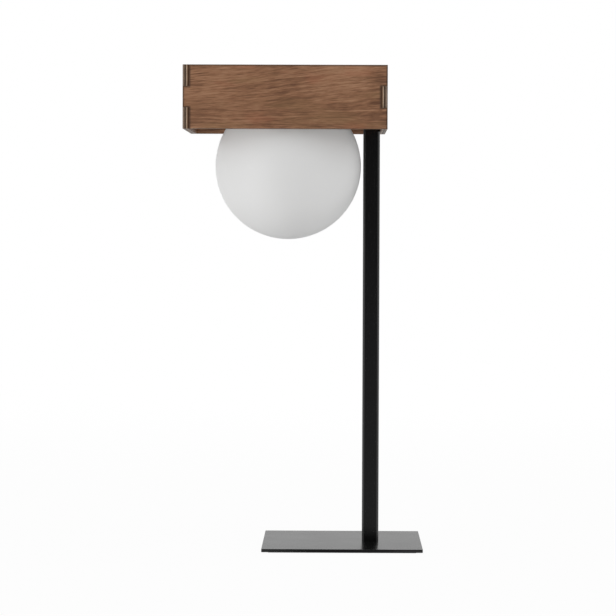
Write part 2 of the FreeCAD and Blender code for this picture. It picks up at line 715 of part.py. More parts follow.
def bulb_envelope():
    """Frosted tube with a domed end, closed by the collar."""
    bottom = COLLAR_BOTTOM - BULB_LENGTH
    inner = BULB_RADIUS - BULB_WALL

    def skin(radius, end):
        """Wall and dome of one of the two skins."""
        centre = (0, end + radius)
        dome = arc((0, end), on_circle(centre, radius, -45), (radius, end + radius))
        return dome, line((radius, end + radius), (radius, COLLAR_BOTTOM))

    outline = [
        *skin(BULB_RADIUS, bottom),
        *skin(inner, bottom + BULB_WALL),
        line((BULB_RADIUS, COLLAR_BOTTOM), (inner, COLLAR_BOTTOM)),
        line((0, bottom), (0, bottom + BULB_WALL)),
    ]
    return turned(outline, GLOBE_X)


def led_core():
    """Square column below the collar that carries the light-emitting chips."""
    side = CORE_SIDE
    low = COLLAR_BOTTOM - CORE_LENGTH
    core = block(span(GLOBE_X, side), span(0, side), (low, COLLAR_BOTTOM))
    return core.makeChamfer(0.2 * side, edges_along(core, Z_AXIS))


# ---- Terminal block, earth and leads ------------------------------------------------------

def terminal_block():
    """Nylon block: a web against the carrier, three barrels with screw chimneys, two bosses."""
    x = span(BLOCK_X, BLOCK_LENGTH)
    width = (POLE_COUNT - 1) * POLE_PITCH + 2 * POLE_RADIUS
    body = block(x, span(0, width), (CARRIER_BOTTOM - WEB_THICK, CARRIER_BOTTOM))
    adds = []
    cuts = []
    chimney = BLOCK_HEIGHT - SLEEVE_DROP
    for y in POLES_Y:
        adds.append(block(x, span(y, 2 * POLE_RADIUS), (SLEEVE_Z, CARRIER_BOTTOM)))
        adds.append(cylinder(POLE_RADIUS, BLOCK_LENGTH, (x[0], y, SLEEVE_Z), X_AXIS))
        cuts.append(cylinder(SLEEVE_RADIUS + HOLE_GAP, BLOCK_LENGTH, (x[0], y, SLEEVE_Z), X_AXIS))
        for side in (-1, 1):
            start = (BLOCK_X + side * TERMINAL_SCREW_X, y, SLEEVE_Z)
            adds.append(cylinder(CHIMNEY_RADIUS, chimney, start, -Z_AXIS))
            cuts.append(cylinder(TERMINAL_SCREW_RADIUS + CLEAR_GAP, chimney, start, -Z_AXIS))
    for y in BOSSES_Y:
        adds.append(cylinder(BOSS_RADIUS, boss_height(), (BLOCK_X, y, CARRIER_BOTTOM), -Z_AXIS))
        cuts.append(cylinder(M3_RADIUS + HOLE_GAP, boss_height(), (BLOCK_X, y, CARRIER_BOTTOM), -Z_AXIS))
    return body.multiFuse(adds).cut(Part.makeCompound(cuts)).removeSplitter()


def boss_height():
    """Height of a fixing boss, down to the lowest line of the barrels."""
    return SLEEVE_DROP + POLE_RADIUS


def terminal_sleeves():
    """Brass sleeves in the barrels, drilled for the clamping screws."""
    length = BLOCK_LENGTH - 2 * SLEEVE_INSET
    sleeves = []
    for y in POLES_Y:
        start = (BLOCK_X - length / 2, y, SLEEVE_Z)
        sleeve = cylinder(SLEEVE_RADIUS, length, start, X_AXIS)
        sleeve = sleeve.cut(cylinder(SLEEVE_BORE, length, start, X_AXIS))
        for side in (-1, 1):
            hole = (BLOCK_X + side * TERMINAL_SCREW_X, y, SLEEVE_Z)
            sleeve = sleeve.cut(cylinder(TERMINAL_SCREW_RADIUS + HOLE_GAP, SLEEVE_RADIUS, hole, -Z_AXIS))
        sleeves.append(sleeve)
    return Part.makeCompound(sleeves)


def terminal_screws():
    """Slotted clamping screws in the chimneys."""
    bottom = CARRIER_BOTTOM - BLOCK_HEIGHT + 1.0
    top = SLEEVE_Z - LEAD_RADIUS - HOLE_GAP
    screws = []
    for y in POLES_Y:
        for side in (-1, 1):
            x = BLOCK_X + side * TERMINAL_SCREW_X
            screw = cylinder(TERMINAL_SCREW_RADIUS, top - bottom, (x, y, bottom))
            groove = block(
                span(x, 2 * TERMINAL_SCREW_RADIUS),
                span(y, 0.5 * TERMINAL_SCREW_RADIUS),
                (bottom, bottom + 0.6 * TERMINAL_SCREW_RADIUS),
            )
            screws.append(screw.cut(groove))
    return Part.makeCompound(screws)


def block_screws():
    """Screws through the bosses into the carrier."""
    length = boss_height() + CARRIER_THICK - HOLE_GAP
    return Part.makeCompound(
        [
            pan_screw(
                (BLOCK_X, y, CARRIER_BOTTOM - boss_height()),
                M3_RADIUS,
                length,
                M3_HEAD_RADIUS,
                M3_HEAD_HEIGHT,
            )
            for y in BOSSES_Y
        ]
    )


def lug_barrel_place():
    """Y ends and height of the earth lug's barrel."""
    start = EARTH_Y + M4_HEAD_RADIUS + 1.0
    radius = LEAD_RADIUS + HOLE_GAP + LUG_THICK
    return (start, start + LUG_BARREL), CARRIER_BOTTOM - radius, radius


def earth_lug():
    """Ring terminal under the earth screw, with the barrel that is crimped on its lead."""
    ends, height, radius = lug_barrel_place()
    bottom = CARRIER_BOTTOM - LUG_THICK
    ring = cylinder(M4_HEAD_RADIUS, LUG_THICK, (EARTH_X, EARTH_Y, bottom))
    tail = block(span(EARTH_X, 2 * radius), (EARTH_Y, ends[0] + 1.0), (bottom, CARRIER_BOTTOM))
    barrel = cylinder(radius, LUG_BARREL, (EARTH_X, ends[0], height), Y_AXIS)
    lug = ring.multiFuse([tail, barrel])
    cuts = [
        cylinder(M4_RADIUS + CLEAR_GAP, LUG_THICK, (EARTH_X, EARTH_Y, bottom)),
        cylinder(LEAD_RADIUS + HOLE_GAP, LUG_BARREL, (EARTH_X, ends[0], height), Y_AXIS),
    ]
    return lug.cut(Part.makeCompound(cuts)).removeSplitter()


def earth_screw():
    """Screw that clamps the earth lug to the carrier."""
    seat = (EARTH_X, EARTH_Y, CARRIER_BOTTOM - LUG_THICK)
    length = LUG_THICK + CARRIER_THICK - HOLE_GAP
    return pan_screw(seat, M4_RADIUS, length, M4_HEAD_RADIUS, M4_HEAD_HEIGHT)


def holder_lead(side):
    """Lead out of the ceramic, along its slot in the carrier and down to the terminal block."""
    slot_z = CARRIER_BOTTOM + CARRIER_THICK / 2
    entry = BLOCK_X - BLOCK_LENGTH / 2
    start_x = GLOBE_X + LEAD_X
    dip_x = GLOBE_X + WIRE_SLOT_END + 1.0
    pole = POLES_Y[-1] if side > 0 else POLES_Y[0]
    near = side * LEAD_Y
    middle = near + 0.4 * (pole - near)
    points = [
        (start_x, near, CERAMIC_TOP - LEAD_SINK),
        (start_x, near, slot_z),
        (dip_x - 6.0, near, slot_z),
        (dip_x, middle, SLEEVE_Z),
        (entry - 4.0, pole, SLEEVE_Z),
        (entry + 4.0, pole, SLEEVE_Z),
    ]
    return lead(points, LEAD_RADIUS)


def earth_lead():
    """Lead from the middle pole round to the earth lug."""
    ends, height, _ = lug_barrel_place()
    entry = BLOCK_X - BLOCK_LENGTH / 2
    points = [
        (entry + 4.0, 0, SLEEVE_Z),
        (entry - 4.0, 0, SLEEVE_Z),
        (EARTH_X + 1.0, -4.0, 0.75 * SLEEVE_Z + 0.25 * height),
        (EARTH_X, ends[1] + 2.5, height),
        (EARTH_X, ends[1] - 3.0, height),
    ]
    return lead(points, LEAD_RADIUS)


# ---- All pieces ---------------------------------------------------------------------------

def pieces():
    """Every node of the lamp by name."""
    wall_x = Vector(POST_X, 0, INLET_Z)
    wall_top = Vector(POST_X, 0, BUSH_Z)
    half_tube = TUBE_SIDE / 2
    return {
        "base_plate": base_plate(),
        "base_felt": base_felt(),
        "foot_screw": foot_screw_shape(0, PLATE_BOTTOM + FOOT_HEAD_SINK),
        "foot_pin": foot_pin_shape(0),
        "foot_plug": foot_plug(),
        "post": post(),
        "cord_inlet_grommet": grommet(INLET_BORE, half_tube, TUBE_WALL, Y_AXIS, wall_x),
        "wiring_bush": grommet(BUSH_BORE, half_tube, TUBE_WALL, -X_AXIS, wall_top),
        **wall_panels(),
        "top_panel": top_panel(),
        "glue_battens": glue_battens(),
        "panel_inserts": panel_inserts(),
        "carrier_plate": carrier_plate(),
        "carrier_screws": carrier_screws(),
        "glass_holder_cup": glass_holder_cup(),
        "cup_screws": cup_screws(),
        "neck_gasket": neck_gasket(),
        "opal_globe": opal_globe(),
        "globe_neck": globe_neck(),
        "lamp_holder": lamp_holder(),
        "contact_springs": contact_springs(),
        "holder_bracket": holder_bracket(),
        "holder_rivets": holder_rivets(),
        "bulb_base": bulb_base(),
        "bulb_pins": bulb_pins(),
        "bulb_envelope": bulb_envelope(),
        "led_core": led_core(),
        "terminal_block": terminal_block(),
        "terminal_sleeves": terminal_sleeves(),
        "terminal_screws": terminal_screws(),
        "block_screws": block_screws(),
        "earth_lug": earth_lug(),
        "earth_screw": earth_screw(),
        "live_lead": holder_lead(1),
        "neutral_lead": holder_lead(-1),
        "earth_lead": earth_lead(),
    }


os.makedirs("parts", exist_ok=True)
for node, shape in pieces().items():
    if not shape.isValid():
        raise ValueError(f"{node} is not a valid shape")
    shape.exportStep(f"parts/{node}.step")
    print(f"{node}: {len(shape.Solids)} solid(s), {shape.Volume:.1f} mm3")
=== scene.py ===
"""Table lamp: a finger-jointed plywood box on a square post holds an opal globe by its neck.

Lengths are in millimetres until a mesh is made; Blender's own units are metres.
"""
import math

import bmesh
import bpy
import numpy as np
from mathutils import Matrix, Vector
from mathutils.geometry import tessellate_polygon


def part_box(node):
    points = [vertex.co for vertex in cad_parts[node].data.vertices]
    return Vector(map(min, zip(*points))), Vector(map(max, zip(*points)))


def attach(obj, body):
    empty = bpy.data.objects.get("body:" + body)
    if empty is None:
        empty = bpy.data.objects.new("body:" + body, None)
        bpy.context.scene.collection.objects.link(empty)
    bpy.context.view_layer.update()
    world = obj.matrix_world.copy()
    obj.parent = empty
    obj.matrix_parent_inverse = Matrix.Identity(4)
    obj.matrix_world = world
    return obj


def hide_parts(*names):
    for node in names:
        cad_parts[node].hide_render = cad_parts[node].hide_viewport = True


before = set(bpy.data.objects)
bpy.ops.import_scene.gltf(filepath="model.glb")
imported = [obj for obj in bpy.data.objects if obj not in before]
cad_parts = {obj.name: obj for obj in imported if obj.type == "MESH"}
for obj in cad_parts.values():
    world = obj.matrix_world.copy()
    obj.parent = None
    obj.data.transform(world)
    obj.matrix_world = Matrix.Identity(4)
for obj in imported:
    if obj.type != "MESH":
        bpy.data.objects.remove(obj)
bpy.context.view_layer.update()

# ---- Viewpoint ----------------------------------------------------------------------------
# The eye is 2.5 m in front of the lamp and two thirds up its height, behind a long lens, so
# that it sees a sliver of the box from below and a sliver of the plate from above.

MM = 0.001
EYE_PLACE = np.array((-5.3549, -2553.0, 309.08)) * MM
EYE_TURN, EYE_TILT, EYE_ROLL = -0.01103, -0.03162, 0.00333
SENSOR_WIDTH = 36.0
LENS_LENGTH = 154.67
VIEW_REACH = 40.0           # metres


def aim_camera():
    """Places the camera by its turn about Z, its tilt from the level and its roll, in radians."""
    ahead = np.array((
        math.sin(EYE_TURN) * math.cos(EYE_TILT),
        math.cos(EYE_TURN) * math.cos(EYE_TILT),
        math.sin(EYE_TILT),
    ))
    level = np.array((math.cos(EYE_TURN), -math.sin(EYE_TURN), 0.0))
    upright = np.cross(level, ahead)
    right = level * math.cos(EYE_ROLL) + upright * math.sin(EYE_ROLL)
    top = upright * math.cos(EYE_ROLL) - level * math.sin(EYE_ROLL)
    placed = np.eye(4)
    placed[:3] = np.column_stack((right, top, -ahead, EYE_PLACE))
    lens = bpy.data.cameras.new("eye")
    lens.lens, lens.sensor_width, lens.clip_end = LENS_LENGTH, SENSOR_WIDTH, VIEW_REACH
    eye = bpy.data.objects.new("eye", lens)
    eye.matrix_world = Matrix(placed.tolist())
    bpy.context.scene.collection.objects.link(eye)
    bpy.context.scene.camera = eye


aim_camera()
bpy.context.scene.view_settings.view_transform = "Standard"

# ---- Room ---------------------------------------------------------------------------------
# A white floor and white air all round, with low soft lights at the left, front and right, one
# above and one behind. A gloss sees the room darker in front of the lamp than behind it, which
# keeps the black steel black while its edges and the top of the plate pick up the white.

AIR_LIGHT = 0.34            # light from all round on matt surfaces
FRONT_GLOSS = 0.04          # what a shiny surface sees in front of the lamp
FLOOR_GLOSS = 0.20          # on the floor there
BACK_GLOSS = 0.79           # and beside and behind it
GLOSS_TURN = (-0.985, -0.75)    # headings along Y between which it changes
FLOOR_WHITE = 0.9
FLOOR_GLOW = 0.96           # share of the floor's white that no shadow reaches, near the lamp
FLOOR_FAR = (0.4, 2.5)      # metres from the lamp over which that share rises to 1
FLOOR_SIDE = 14.0
LIGHT_AIM = (0.0, 0.0, 0.30)


def math_node(operation, swapped=False):
    """Method that adds one Math node of its own value and another, or the other way round."""
    def method(self, other=0.0):
        terms = (other, self) if swapped else (self, other)
        return self.nodes.add("ShaderNodeMath", {"operation": operation}, dict(enumerate(terms)))

    return method


class Number:
    """A shader value that takes part in sums."""

    def __init__(self, nodes, socket):
        self.nodes, self.socket = nodes, socket

    __add__ = __radd__ = math_node("ADD")
    __sub__ = math_node("SUBTRACT")
    __rsub__ = math_node("SUBTRACT", swapped=True)
    __mul__ = __rmul__ = math_node("MULTIPLY")
    __truediv__ = math_node("DIVIDE")
    __pow__ = math_node("POWER")
    __abs__ = math_node("ABSOLUTE")
    least = math_node("MINIMUM")
    most = math_node("MAXIMUM")
    rest = math_node("FRACT")       # what is left after the last whole number

    def between(self, low, high):
        """0 up to low, 1 from high on, and smooth between them; low may be the larger."""
        return self.nodes.add(
            "ShaderNodeMapRange",
            {"interpolation_type": "SMOOTHSTEP"},
            {"Value": self, "From Min": low, "From Max": high},
        )


class Nodes:
    """A node tree that is being filled."""

    def __init__(self, tree):
        self.tree = tree
        tree.nodes.clear()

    def add(self, kind, settings=None, sockets=None, output=0):
        """Adds one node: its settings first, with a ramp's own among them, and then the values
        or links of its sockets."""
        node = self.tree.nodes.new(kind)
        for name, value in (settings or {}).items():
            if name == "stops":
                ramp = node.color_ramp.elements
                while len(ramp) < len(value):
                    ramp.new(1.0)
                for stop, (position, colour) in zip(ramp, value):
                    stop.position, stop.color = position, (*colour, 1.0)
            elif name == "interpolation":
                node.color_ramp.interpolation = value
            else:
                setattr(node, name, value)
        for name, value in (sockets or {}).items():
            socket = node.inputs[name]
            if isinstance(value, Number):
                self.tree.links.new(value.socket, socket)
            elif socket.type == "RGBA":
                socket.default_value = (*value, 1.0)
            else:
                socket.default_value = value
        return Number(self, node.outputs[output])

    def mix(self, factor, first, second):
        """Colour between two colours."""
        return self.add(
            "ShaderNodeMix", {"data_type": "RGBA"}, {0: factor, 6: first, 7: second}, output=2
        )

    def shown(self):
        """1 for what the eye sees, straight or through glass, and else 0."""
        return self.ray("Is Camera Ray").most(self.ray("Is Transmission Ray"))

    def ray(self, kind):
        return self.add("ShaderNodeLightPath", output=kind)

    def gloss_level(self, heading, front):
        """White that a gloss sees along a heading of length 1, from its level at the front up
        to the level beside and behind."""
        beside = self.add("ShaderNodeSeparateXYZ", None, {0: heading}, output="Y")
        return front + beside.between(*GLOSS_TURN) * (BACK_GLOSS - front)

    def add_output(self, kind, surface):
        node = self.tree.nodes.new(kind)
        self.tree.links.new(surface.socket, node.inputs["Surface"])


def fill_air():
    """White to the eye, a plain level on matt surfaces, and darker to the front in a gloss."""
    world = bpy.data.worlds.new("air")
    bpy.context.scene.world = world
    world.use_nodes = True
    air = Nodes(world.node_tree)
    gloss = air.gloss_level(air.add("ShaderNodeTexCoord", output="Generated"), FRONT_GLOSS)
    glossy = air.ray("Is Glossy Ray")
    shown = air.shown()
    level = shown + (1 - shown) * (glossy * gloss + (1 - glossy) * AIR_LIGHT)
    sky = air.add("ShaderNodeBackground", None, {"Color": (1.0, 1.0, 1.0), "Strength": level})
    air.add_output("ShaderNodeOutputWorld", sky)


def lay_floor():
    """Square floor whose white is mostly its own, so that only a faint shadow shows on it, and
    far from the lamp wholly its own, so that it meets the white air with no line."""
    material = bpy.data.materials.new("floor_white")
    material.use_nodes = True
    nodes = Nodes(material.node_tree)
    matt = nodes.add("ShaderNodeBsdfDiffuse", None, {"Color": (FLOOR_WHITE,) * 3})
    place = nodes.add("ShaderNodeTexCoord", output="Object")
    heading = nodes.add("ShaderNodeVectorMath", {"operation": "NORMALIZE"}, {0: place})
    shown = nodes.shown()
    level = shown + (1 - shown) * nodes.gloss_level(heading, FLOOR_GLOSS)
    glow = nodes.add("ShaderNodeEmission", None, {"Color": (1.0, 1.0, 1.0), "Strength": level})
    far = nodes.add("ShaderNodeVectorMath", {"operation": "LENGTH"}, {0: place}, output="Value")
    share = FLOOR_GLOW + far.between(*FLOOR_FAR) * (1 - FLOOR_GLOW)
    seen = shown.most(nodes.ray("Is Glossy Ray")) * share
    both = nodes.add("ShaderNodeMixShader", None, {0: seen, 1: matt, 2: glow})
    nodes.add_output("ShaderNodeOutputMaterial", both)
    half = FLOOR_SIDE / 2
    mesh = bpy.data.meshes.new("floor")
    corners = [(-half, -half, 0), (half, -half, 0), (half, half, 0), (-half, half, 0)]
    mesh.from_pydata(corners, [], [(0, 1, 2, 3)])
    mesh.materials.append(material)
    floor = bpy.data.objects.new("floor", mesh)
    bpy.context.scene.collection.objects.link(floor)


def hang_light(name, turn, distance, height, size, watts):
    """Soft light at a turn in degrees from the front of the lamp to its right, aimed at it and
    not seen itself."""
    way = math.radians(turn)
    place = (distance * math.sin(way), -distance * math.cos(way), height)
    lamp = bpy.data.lights.new(name, "AREA")
    lamp.shape, (lamp.size, lamp.size_y), lamp.energy = "RECTANGLE", size, watts
    light = bpy.data.objects.new(name, lamp)
    light.location = place
    light.rotation_euler = (Vector(LIGHT_AIM) - Vector(place)).to_track_quat("-Z", "Y").to_euler()
    light.visible_camera = False
    light.visible_glossy = False
    bpy.context.scene.collection.objects.link(light)


fill_air()
lay_floor()
hang_light("left_softbox", -75.0, 2.7, 0.2, (2.4, 0.38), 31.0)
hang_light("front_softbox", 18.0, 2.7, 0.2, (2.2, 0.38), 20.0)
hang_light("right_softbox", 90.0, 2.7, 0.2, (1.6, 0.38), 10.5)
hang_light("top_softbox", 0.0, 0.3, 2.6, (1.6, 1.6), 12.0)
hang_light("rear_softbox", 170.0, 2.6, 0.7, (1.8, 0.9), 20.0)

# ---- Base plate and felt ------------------------------------------------------------------
# The base is a 3 mm steel plate with eased edges in a satin black powder coat. Its top is
# smooth enough to mirror the foot of the post; a sheet of black felt is glued underneath.

PLATE_EASE = 0.3
PLATE_CORNER = 1.5
PLATE_GLOSS, PLATE_PEEL = 0.23, 0.012
FELT_EASE = 0.25
FOOT_AXIS = (27.2, 0.0)
FOOT_HOLE = 5.25            # radius of the countersink at the plate's underside
FOOT_SINK = 0.2             # and how deep it goes straight
FOOT_CONE = 2.5             # before it narrows by this at 45 degrees
BLACK_PAINT = (0.0040, 0.0040, 0.0043)
FELT_BLACK = (0.012, 0.012, 0.013)
FELT_GREY = (0.045, 0.045, 0.047)
WELD = 0.0005               # points this near to each other are one


class Finish(Nodes):
    """A material on the piece's own place, in metres, with one Principled surface."""

    def __init__(self, name):
        self.material = bpy.data.materials.new(name)
        self.material.use_nodes = True
        super().__init__(self.material.node_tree)
        self.place = self.add("ShaderNodeTexCoord", output="Object")

    def axis(self, name):
        """One coordinate of the place, in millimetres."""
        return self.add("ShaderNodeSeparateXYZ", None, {0: self.place}, output=name) / MM

    def noise(self, size, detail, seed):
        """Noise from 0 to 1 whose features are about size millimetres long on each axis."""
        sizes = size if isinstance(size, tuple) else (size,) * 3
        scale = tuple(1 / (s * MM) for s in sizes)
        place = self.add("ShaderNodeMapping", None, {"Vector": self.place, "Scale": scale})
        return self.noise_at(place, detail, seed)

    def noise_at(self, place, detail, seed, roughness=0.5):
        """Noise from 0 to 1 whose features are about one unit of the place long."""
        return self.add(
            "ShaderNodeTexNoise",
            {"noise_dimensions": "4D"},
            {"Vector": place, "W": seed, "Scale": 1.0, "Detail": detail, "Roughness": roughness},
        )

    def point(self, x, y, z):
        return self.add("ShaderNodeCombineXYZ", None, {0: x, 1: y, 2: z})

    def relief(self, height, depth):
        """Bump of a height from 0 to 1 that stands for a depth in millimetres."""
        return self.add("ShaderNodeBump", None, {"Height": height, "Distance": depth * MM})

    def done(self, colour, roughness, **sockets):
        """Joins the colour, roughness and other sockets, named with _ for a space."""
        named = {"Base Color": colour, "Roughness": roughness}
        named |= {name.replace("_", " "): value for name, value in sockets.items()}
        surface = self.add("ShaderNodeBsdfPrincipled", None, named)
        self.add_output("ShaderNodeOutputMaterial", surface)
        return self.material


def shades(colour, *depths):
    """The same colour at several depths."""
    return [tuple(depth * c for c in colour) for depth in depths]


def even_finish(name, colours, roughness, cloud, skin, depth=0.0, **sockets):
    """Even stuff: a cloud noise takes its colour from one to the other, and a skin noise is its
    relief. A noise is its size, detail and seed, and how far it moves the roughness."""
    stuff = Finish(name)
    broad, fine = stuff.noise(*cloud[:3]), stuff.noise(*skin[:3])
    gloss = roughness + (broad - 0.5) * cloud[3] + (fine - 0.5) * skin[3]
    if depth:
        sockets["Normal"] = stuff.relief(fine, depth)
    return stuff.done(stuff.mix(broad, *colours), gloss, **sockets)


def powder_coat(name, roughness, peel, shine=0.2, pale=1.0):
    """Black powder coat: a fine orange peel, and a sheen that varies a little. shine is the
    strength of its gloss, and pale lifts its black."""
    cloud, skin = (38.0, 2.0, 3.0, 0.05), (0.55, 2.0, 5.0, 0.05)
    colours = shades(BLACK_PAINT, pale, 1.35 * pale)
    return even_finish(name, colours, roughness, cloud, skin, peel, Specular_IOR_Level=shine)


def felt_finish():
    """Pressed felt: short tangled fibres that catch a little light."""
    felt = Finish("felt")
    tangle = felt.noise((0.35, 0.9, 0.6), 4.0, 2.0)
    thread = felt.noise((0.9, 0.3, 0.6), 4.0, 8.0)
    fibres = (tangle + thread) / 2
    colour = felt.mix(fibres.between(0.4, 0.68), FELT_BLACK, FELT_GREY)
    return felt.done(colour, 0.95, Normal=felt.relief(fibres, 0.25), Sheen_Weight=0.3)


def grid_faces(rows, columns, start=0):
    """Quads between neighbouring rows of points, closed round the columns."""
    row, column = np.meshgrid(np.arange(rows - 1), np.arange(columns), indexing="ij")
    beside = (column + 1) % columns
    corners = [row * columns + column, row * columns + beside]
    corners += [(row + 1) * columns + beside, (row + 1) * columns + column]
    return (start + np.stack(corners, -1).reshape(-1, 4)).tolist()


def inset(loop, distance):
    """Outline moved to the left of its way round, each corner along its mitre."""
    def left(edge):
        return np.stack((-edge[:, 1], edge[:, 0]), 1) / np.linalg.norm(edge, axis=1, keepdims=True)

    before = left(loop - np.roll(loop, 1, axis=0))
    after = left(np.roll(loop, -1, axis=0) - loop)
    return loop + distance * (before + after) / (1 + (before * after).sum(1, keepdims=True))


def plate(outline, rows, holes=()):
    """Sheet of material: each loop is carried along its rows of (inset, height), and the two
    faces are filled between the first rings and between the last. A hole that stops short of
    the last height gets a floor. Gives points, faces and 0 for a filled face, 1 for an edge."""
    points, faces, kinds = [], [], []
    ends = ([], [])
    start = 0
    for loop, steps in [(outline, rows), *holes]:
        count = len(loop)
        rings = [np.column_stack((inset(loop, d), np.full(count, h))) for d, h in steps]
        points += rings
        walls = grid_faces(len(steps), count, start)
        faces += walls
        kinds += [1] * len(walls)
        last = start + (len(steps) - 1) * count
        ends[0].append((start, rings[0]))
        if abs(steps[-1][1] - rows[-1][1]) < WELD:
            ends[1].append((last, rings[-1]))
        else:
            faces.append(list(range(last, last + count)))
            kinds.append(0)
        start += len(steps) * count
    for rings in ends:
        number = np.concatenate([first + np.arange(len(ring)) for first, ring in rings])
        filled = tessellate_polygon([[Vector(p) for p in ring] for _, ring in rings])
        faces += [[int(number[i]) for i in triangle] for triangle in filled]
        kinds += [0] * len(filled)
    return np.concatenate(points), faces, kinds


def arc(centre, radius, start, end, steps):
    """Points round a centre from one angle to another, in radians."""
    angle = np.linspace(start, end, steps + 1)
    return radius * np.column_stack((np.cos(angle), np.sin(angle))) + centre


def eased(low, high, ease, steps=3):
    """Rows up a straight edge whose two corners are rounded by a quarter circle."""
    lower = arc((ease, low + ease), ease, -math.pi / 2, -math.pi, steps)
    upper = arc((ease, high - ease), ease, math.pi, math.pi / 2, steps)
    return [*lower, *upper]


def rectangle(x, y, radius, steps=8):
    """Anticlockwise rectangle between two X and two Y ends, with round corners."""
    left, right, near, far = x[0] + radius, x[1] - radius, y[0] + radius, y[1] - radius
    centres = [(right, far), (left, far), (left, near), (right, near)]
    turns = [quarter * math.pi / 2 for quarter in range(5)]
    corners = zip(centres, turns, turns[1:])
    return np.concatenate([arc(centre, radius, *turn, steps) for centre, *turn in corners])


def hole(x, y, radius, count=40, length=0.0):
    """Clockwise circle, or a slot along X when its two half circles are apart by a length."""
    angle = -np.arange(count) * 2 * math.pi / count + math.pi / 2 - math.pi / count
    centre = x + np.where(np.cos(angle) > 0, length, 0.0)
    return np.column_stack((centre + radius * np.cos(angle), y + radius * np.sin(angle)))


def piece(name, shells, finishes, body, nodes, smooth=35.0):
    """One object out of shells of (points, faces, kinds), in millimetres. Filled faces are flat
    and take the first finish; the others are smooth up to an angle and take the next."""
    points = np.concatenate([shell[0] for shell in shells])
    starts = np.cumsum([0] + [len(shell[0]) for shell in shells])
    faces = [[start + i for i in face] for start, shell in zip(starts, shells) for face in shell[1]]
    kinds = np.concatenate([np.asarray(shell[2], int) for shell in shells])
    mesh = bpy.data.meshes.new(name)
    mesh.from_pydata((points * MM).tolist(), [], faces)
    mesh.polygons.foreach_set("material_index", np.minimum(kinds, len(finishes) - 1))
    mesh.polygons.foreach_set("use_smooth", kinds > 0)
    for finish in finishes:
        mesh.materials.append(finish)
    close(mesh)
    mesh.set_sharp_from_angle(angle=math.radians(smooth))
    add_piece(name, mesh, body, nodes)


def add_piece(name, mesh, body, nodes):
    """Puts a mesh into the lamp: it rides on a body and stands for its nodes."""
    made = bpy.data.objects.new(name, mesh)
    bpy.context.scene.collection.objects.link(made)
    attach(made, body)
    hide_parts(*nodes)
    return made


def close(mesh):
    """Joins points that meet, as at a pole or a seam, and turns every face outwards: first all
    one way, then the other way if the volume that they enclose comes out below zero."""
    work = bmesh.new()
    work.from_mesh(mesh)
    bmesh.ops.remove_doubles(work, verts=work.verts, dist=WELD * MM)
    bmesh.ops.recalc_face_normals(work, faces=work.faces)
    if work.calc_volume(signed=True) < 0:
        bmesh.ops.reverse_faces(work, faces=work.faces)
    work.to_mesh(mesh)
    work.free()


def node_box(node):
    """Lowest and highest corner of a CAD node in millimetres."""
    return np.array(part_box(node)) / MM


def make_plate():
    (x0, y0, z0), (x1, y1, z1) = node_box("base_plate")
    rows = eased(z0, z1, PLATE_EASE, 4)
    straight = z0 + FOOT_SINK
    sunk = [(0.0, z0), (0.0, straight), (-FOOT_CONE, straight + FOOT_CONE), (-FOOT_CONE, z1)]
    foot_hole = (hole(*FOOT_AXIS, FOOT_HOLE), sunk)
    shell = plate(rectangle((x0, x1), (y0, y1), PLATE_CORNER), rows, [foot_hole])
    top = powder_coat("plate_powder_coat", PLATE_GLOSS, PLATE_PEEL)
    edge = powder_coat("edge_powder_coat", PLATE_GLOSS, PLATE_PEEL, shine=0.5)
    piece("base_plate_steel", [shell], [top, edge], "frame", ["base_plate"])


def make_felt():
    (x0, y0, z0), (x1, y1, z1) = node_box("base_felt")
    shell = plate(rectangle((x0, x1), (y0, y1), PLATE_CORNER), eased(z0, z1, FELT_EASE))
    felt = felt_finish()
    piece("base_felt_sheet", [shell], [felt], "frame", ["base_felt"])


make_plate()
make_felt()

# ---- Post and its foot --------------------------------------------------------------------
# A 16 mm square tube in the same black. A threaded block is welded into its foot, and a
# countersunk screw and a dowel through the plate hold it upright and keep it from turning.

MARK_DEPTH = 0.004          # of the marks on bare metal
FLAT_LIMIT = math.radians(0.4)      # faces that turn by less are one flat,
ROUND_LIMIT = math.radians(30)      # by less than this one round face,
EDGE_LIMIT = math.radians(40)       # and an edge that turns by more is eased


def metal(name, colour, roughness, lay, seed):
    """Bare metal with fine marks of the tool or of rolling, whose sizes along the axes are lay."""
    stain, marks = (9.0, 2.0, seed + 4, 0.08), (lay, 3.0, seed, 0.16)
    colours = shades(colour, 0.86, 1.0)
    return even_finish(name, colours, roughness, stain, marks, MARK_DEPTH, Metallic=1.0)


def smooth_copy(name, finish, body, node, ease=0.0):
    """Copy of a CAD node with its points joined, its flats whole and its round faces smooth;
    ease rounds the sharp edges."""
    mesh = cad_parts[node].data.copy()
    mesh.name = name
    work = bmesh.new()
    work.from_mesh(mesh)
    bmesh.ops.remove_doubles(work, verts=work.verts, dist=WELD * MM)
    bmesh.ops.dissolve_limit(work, angle_limit=FLAT_LIMIT, verts=work.verts, edges=work.edges)
    work.to_mesh(mesh)
    work.free()
    mesh.materials.clear()
    mesh.materials.append(finish)
    mesh.polygons.foreach_set("use_smooth", np.ones(len(mesh.polygons), bool))
    mesh.polygons.foreach_set("material_index", np.zeros(len(mesh.polygons), int))
    mesh.set_sharp_from_angle(angle=ROUND_LIMIT)
    made = add_piece(name, mesh, body, [node])
    if ease:
        rounding = made.modifiers.new("ease", "BEVEL")
        rounding.width, rounding.segments = ease * MM, 2
        rounding.limit_method, rounding.angle_limit = "ANGLE", EDGE_LIMIT
        rounding.use_clamp_overlap = True
        rounding.harden_normals = True


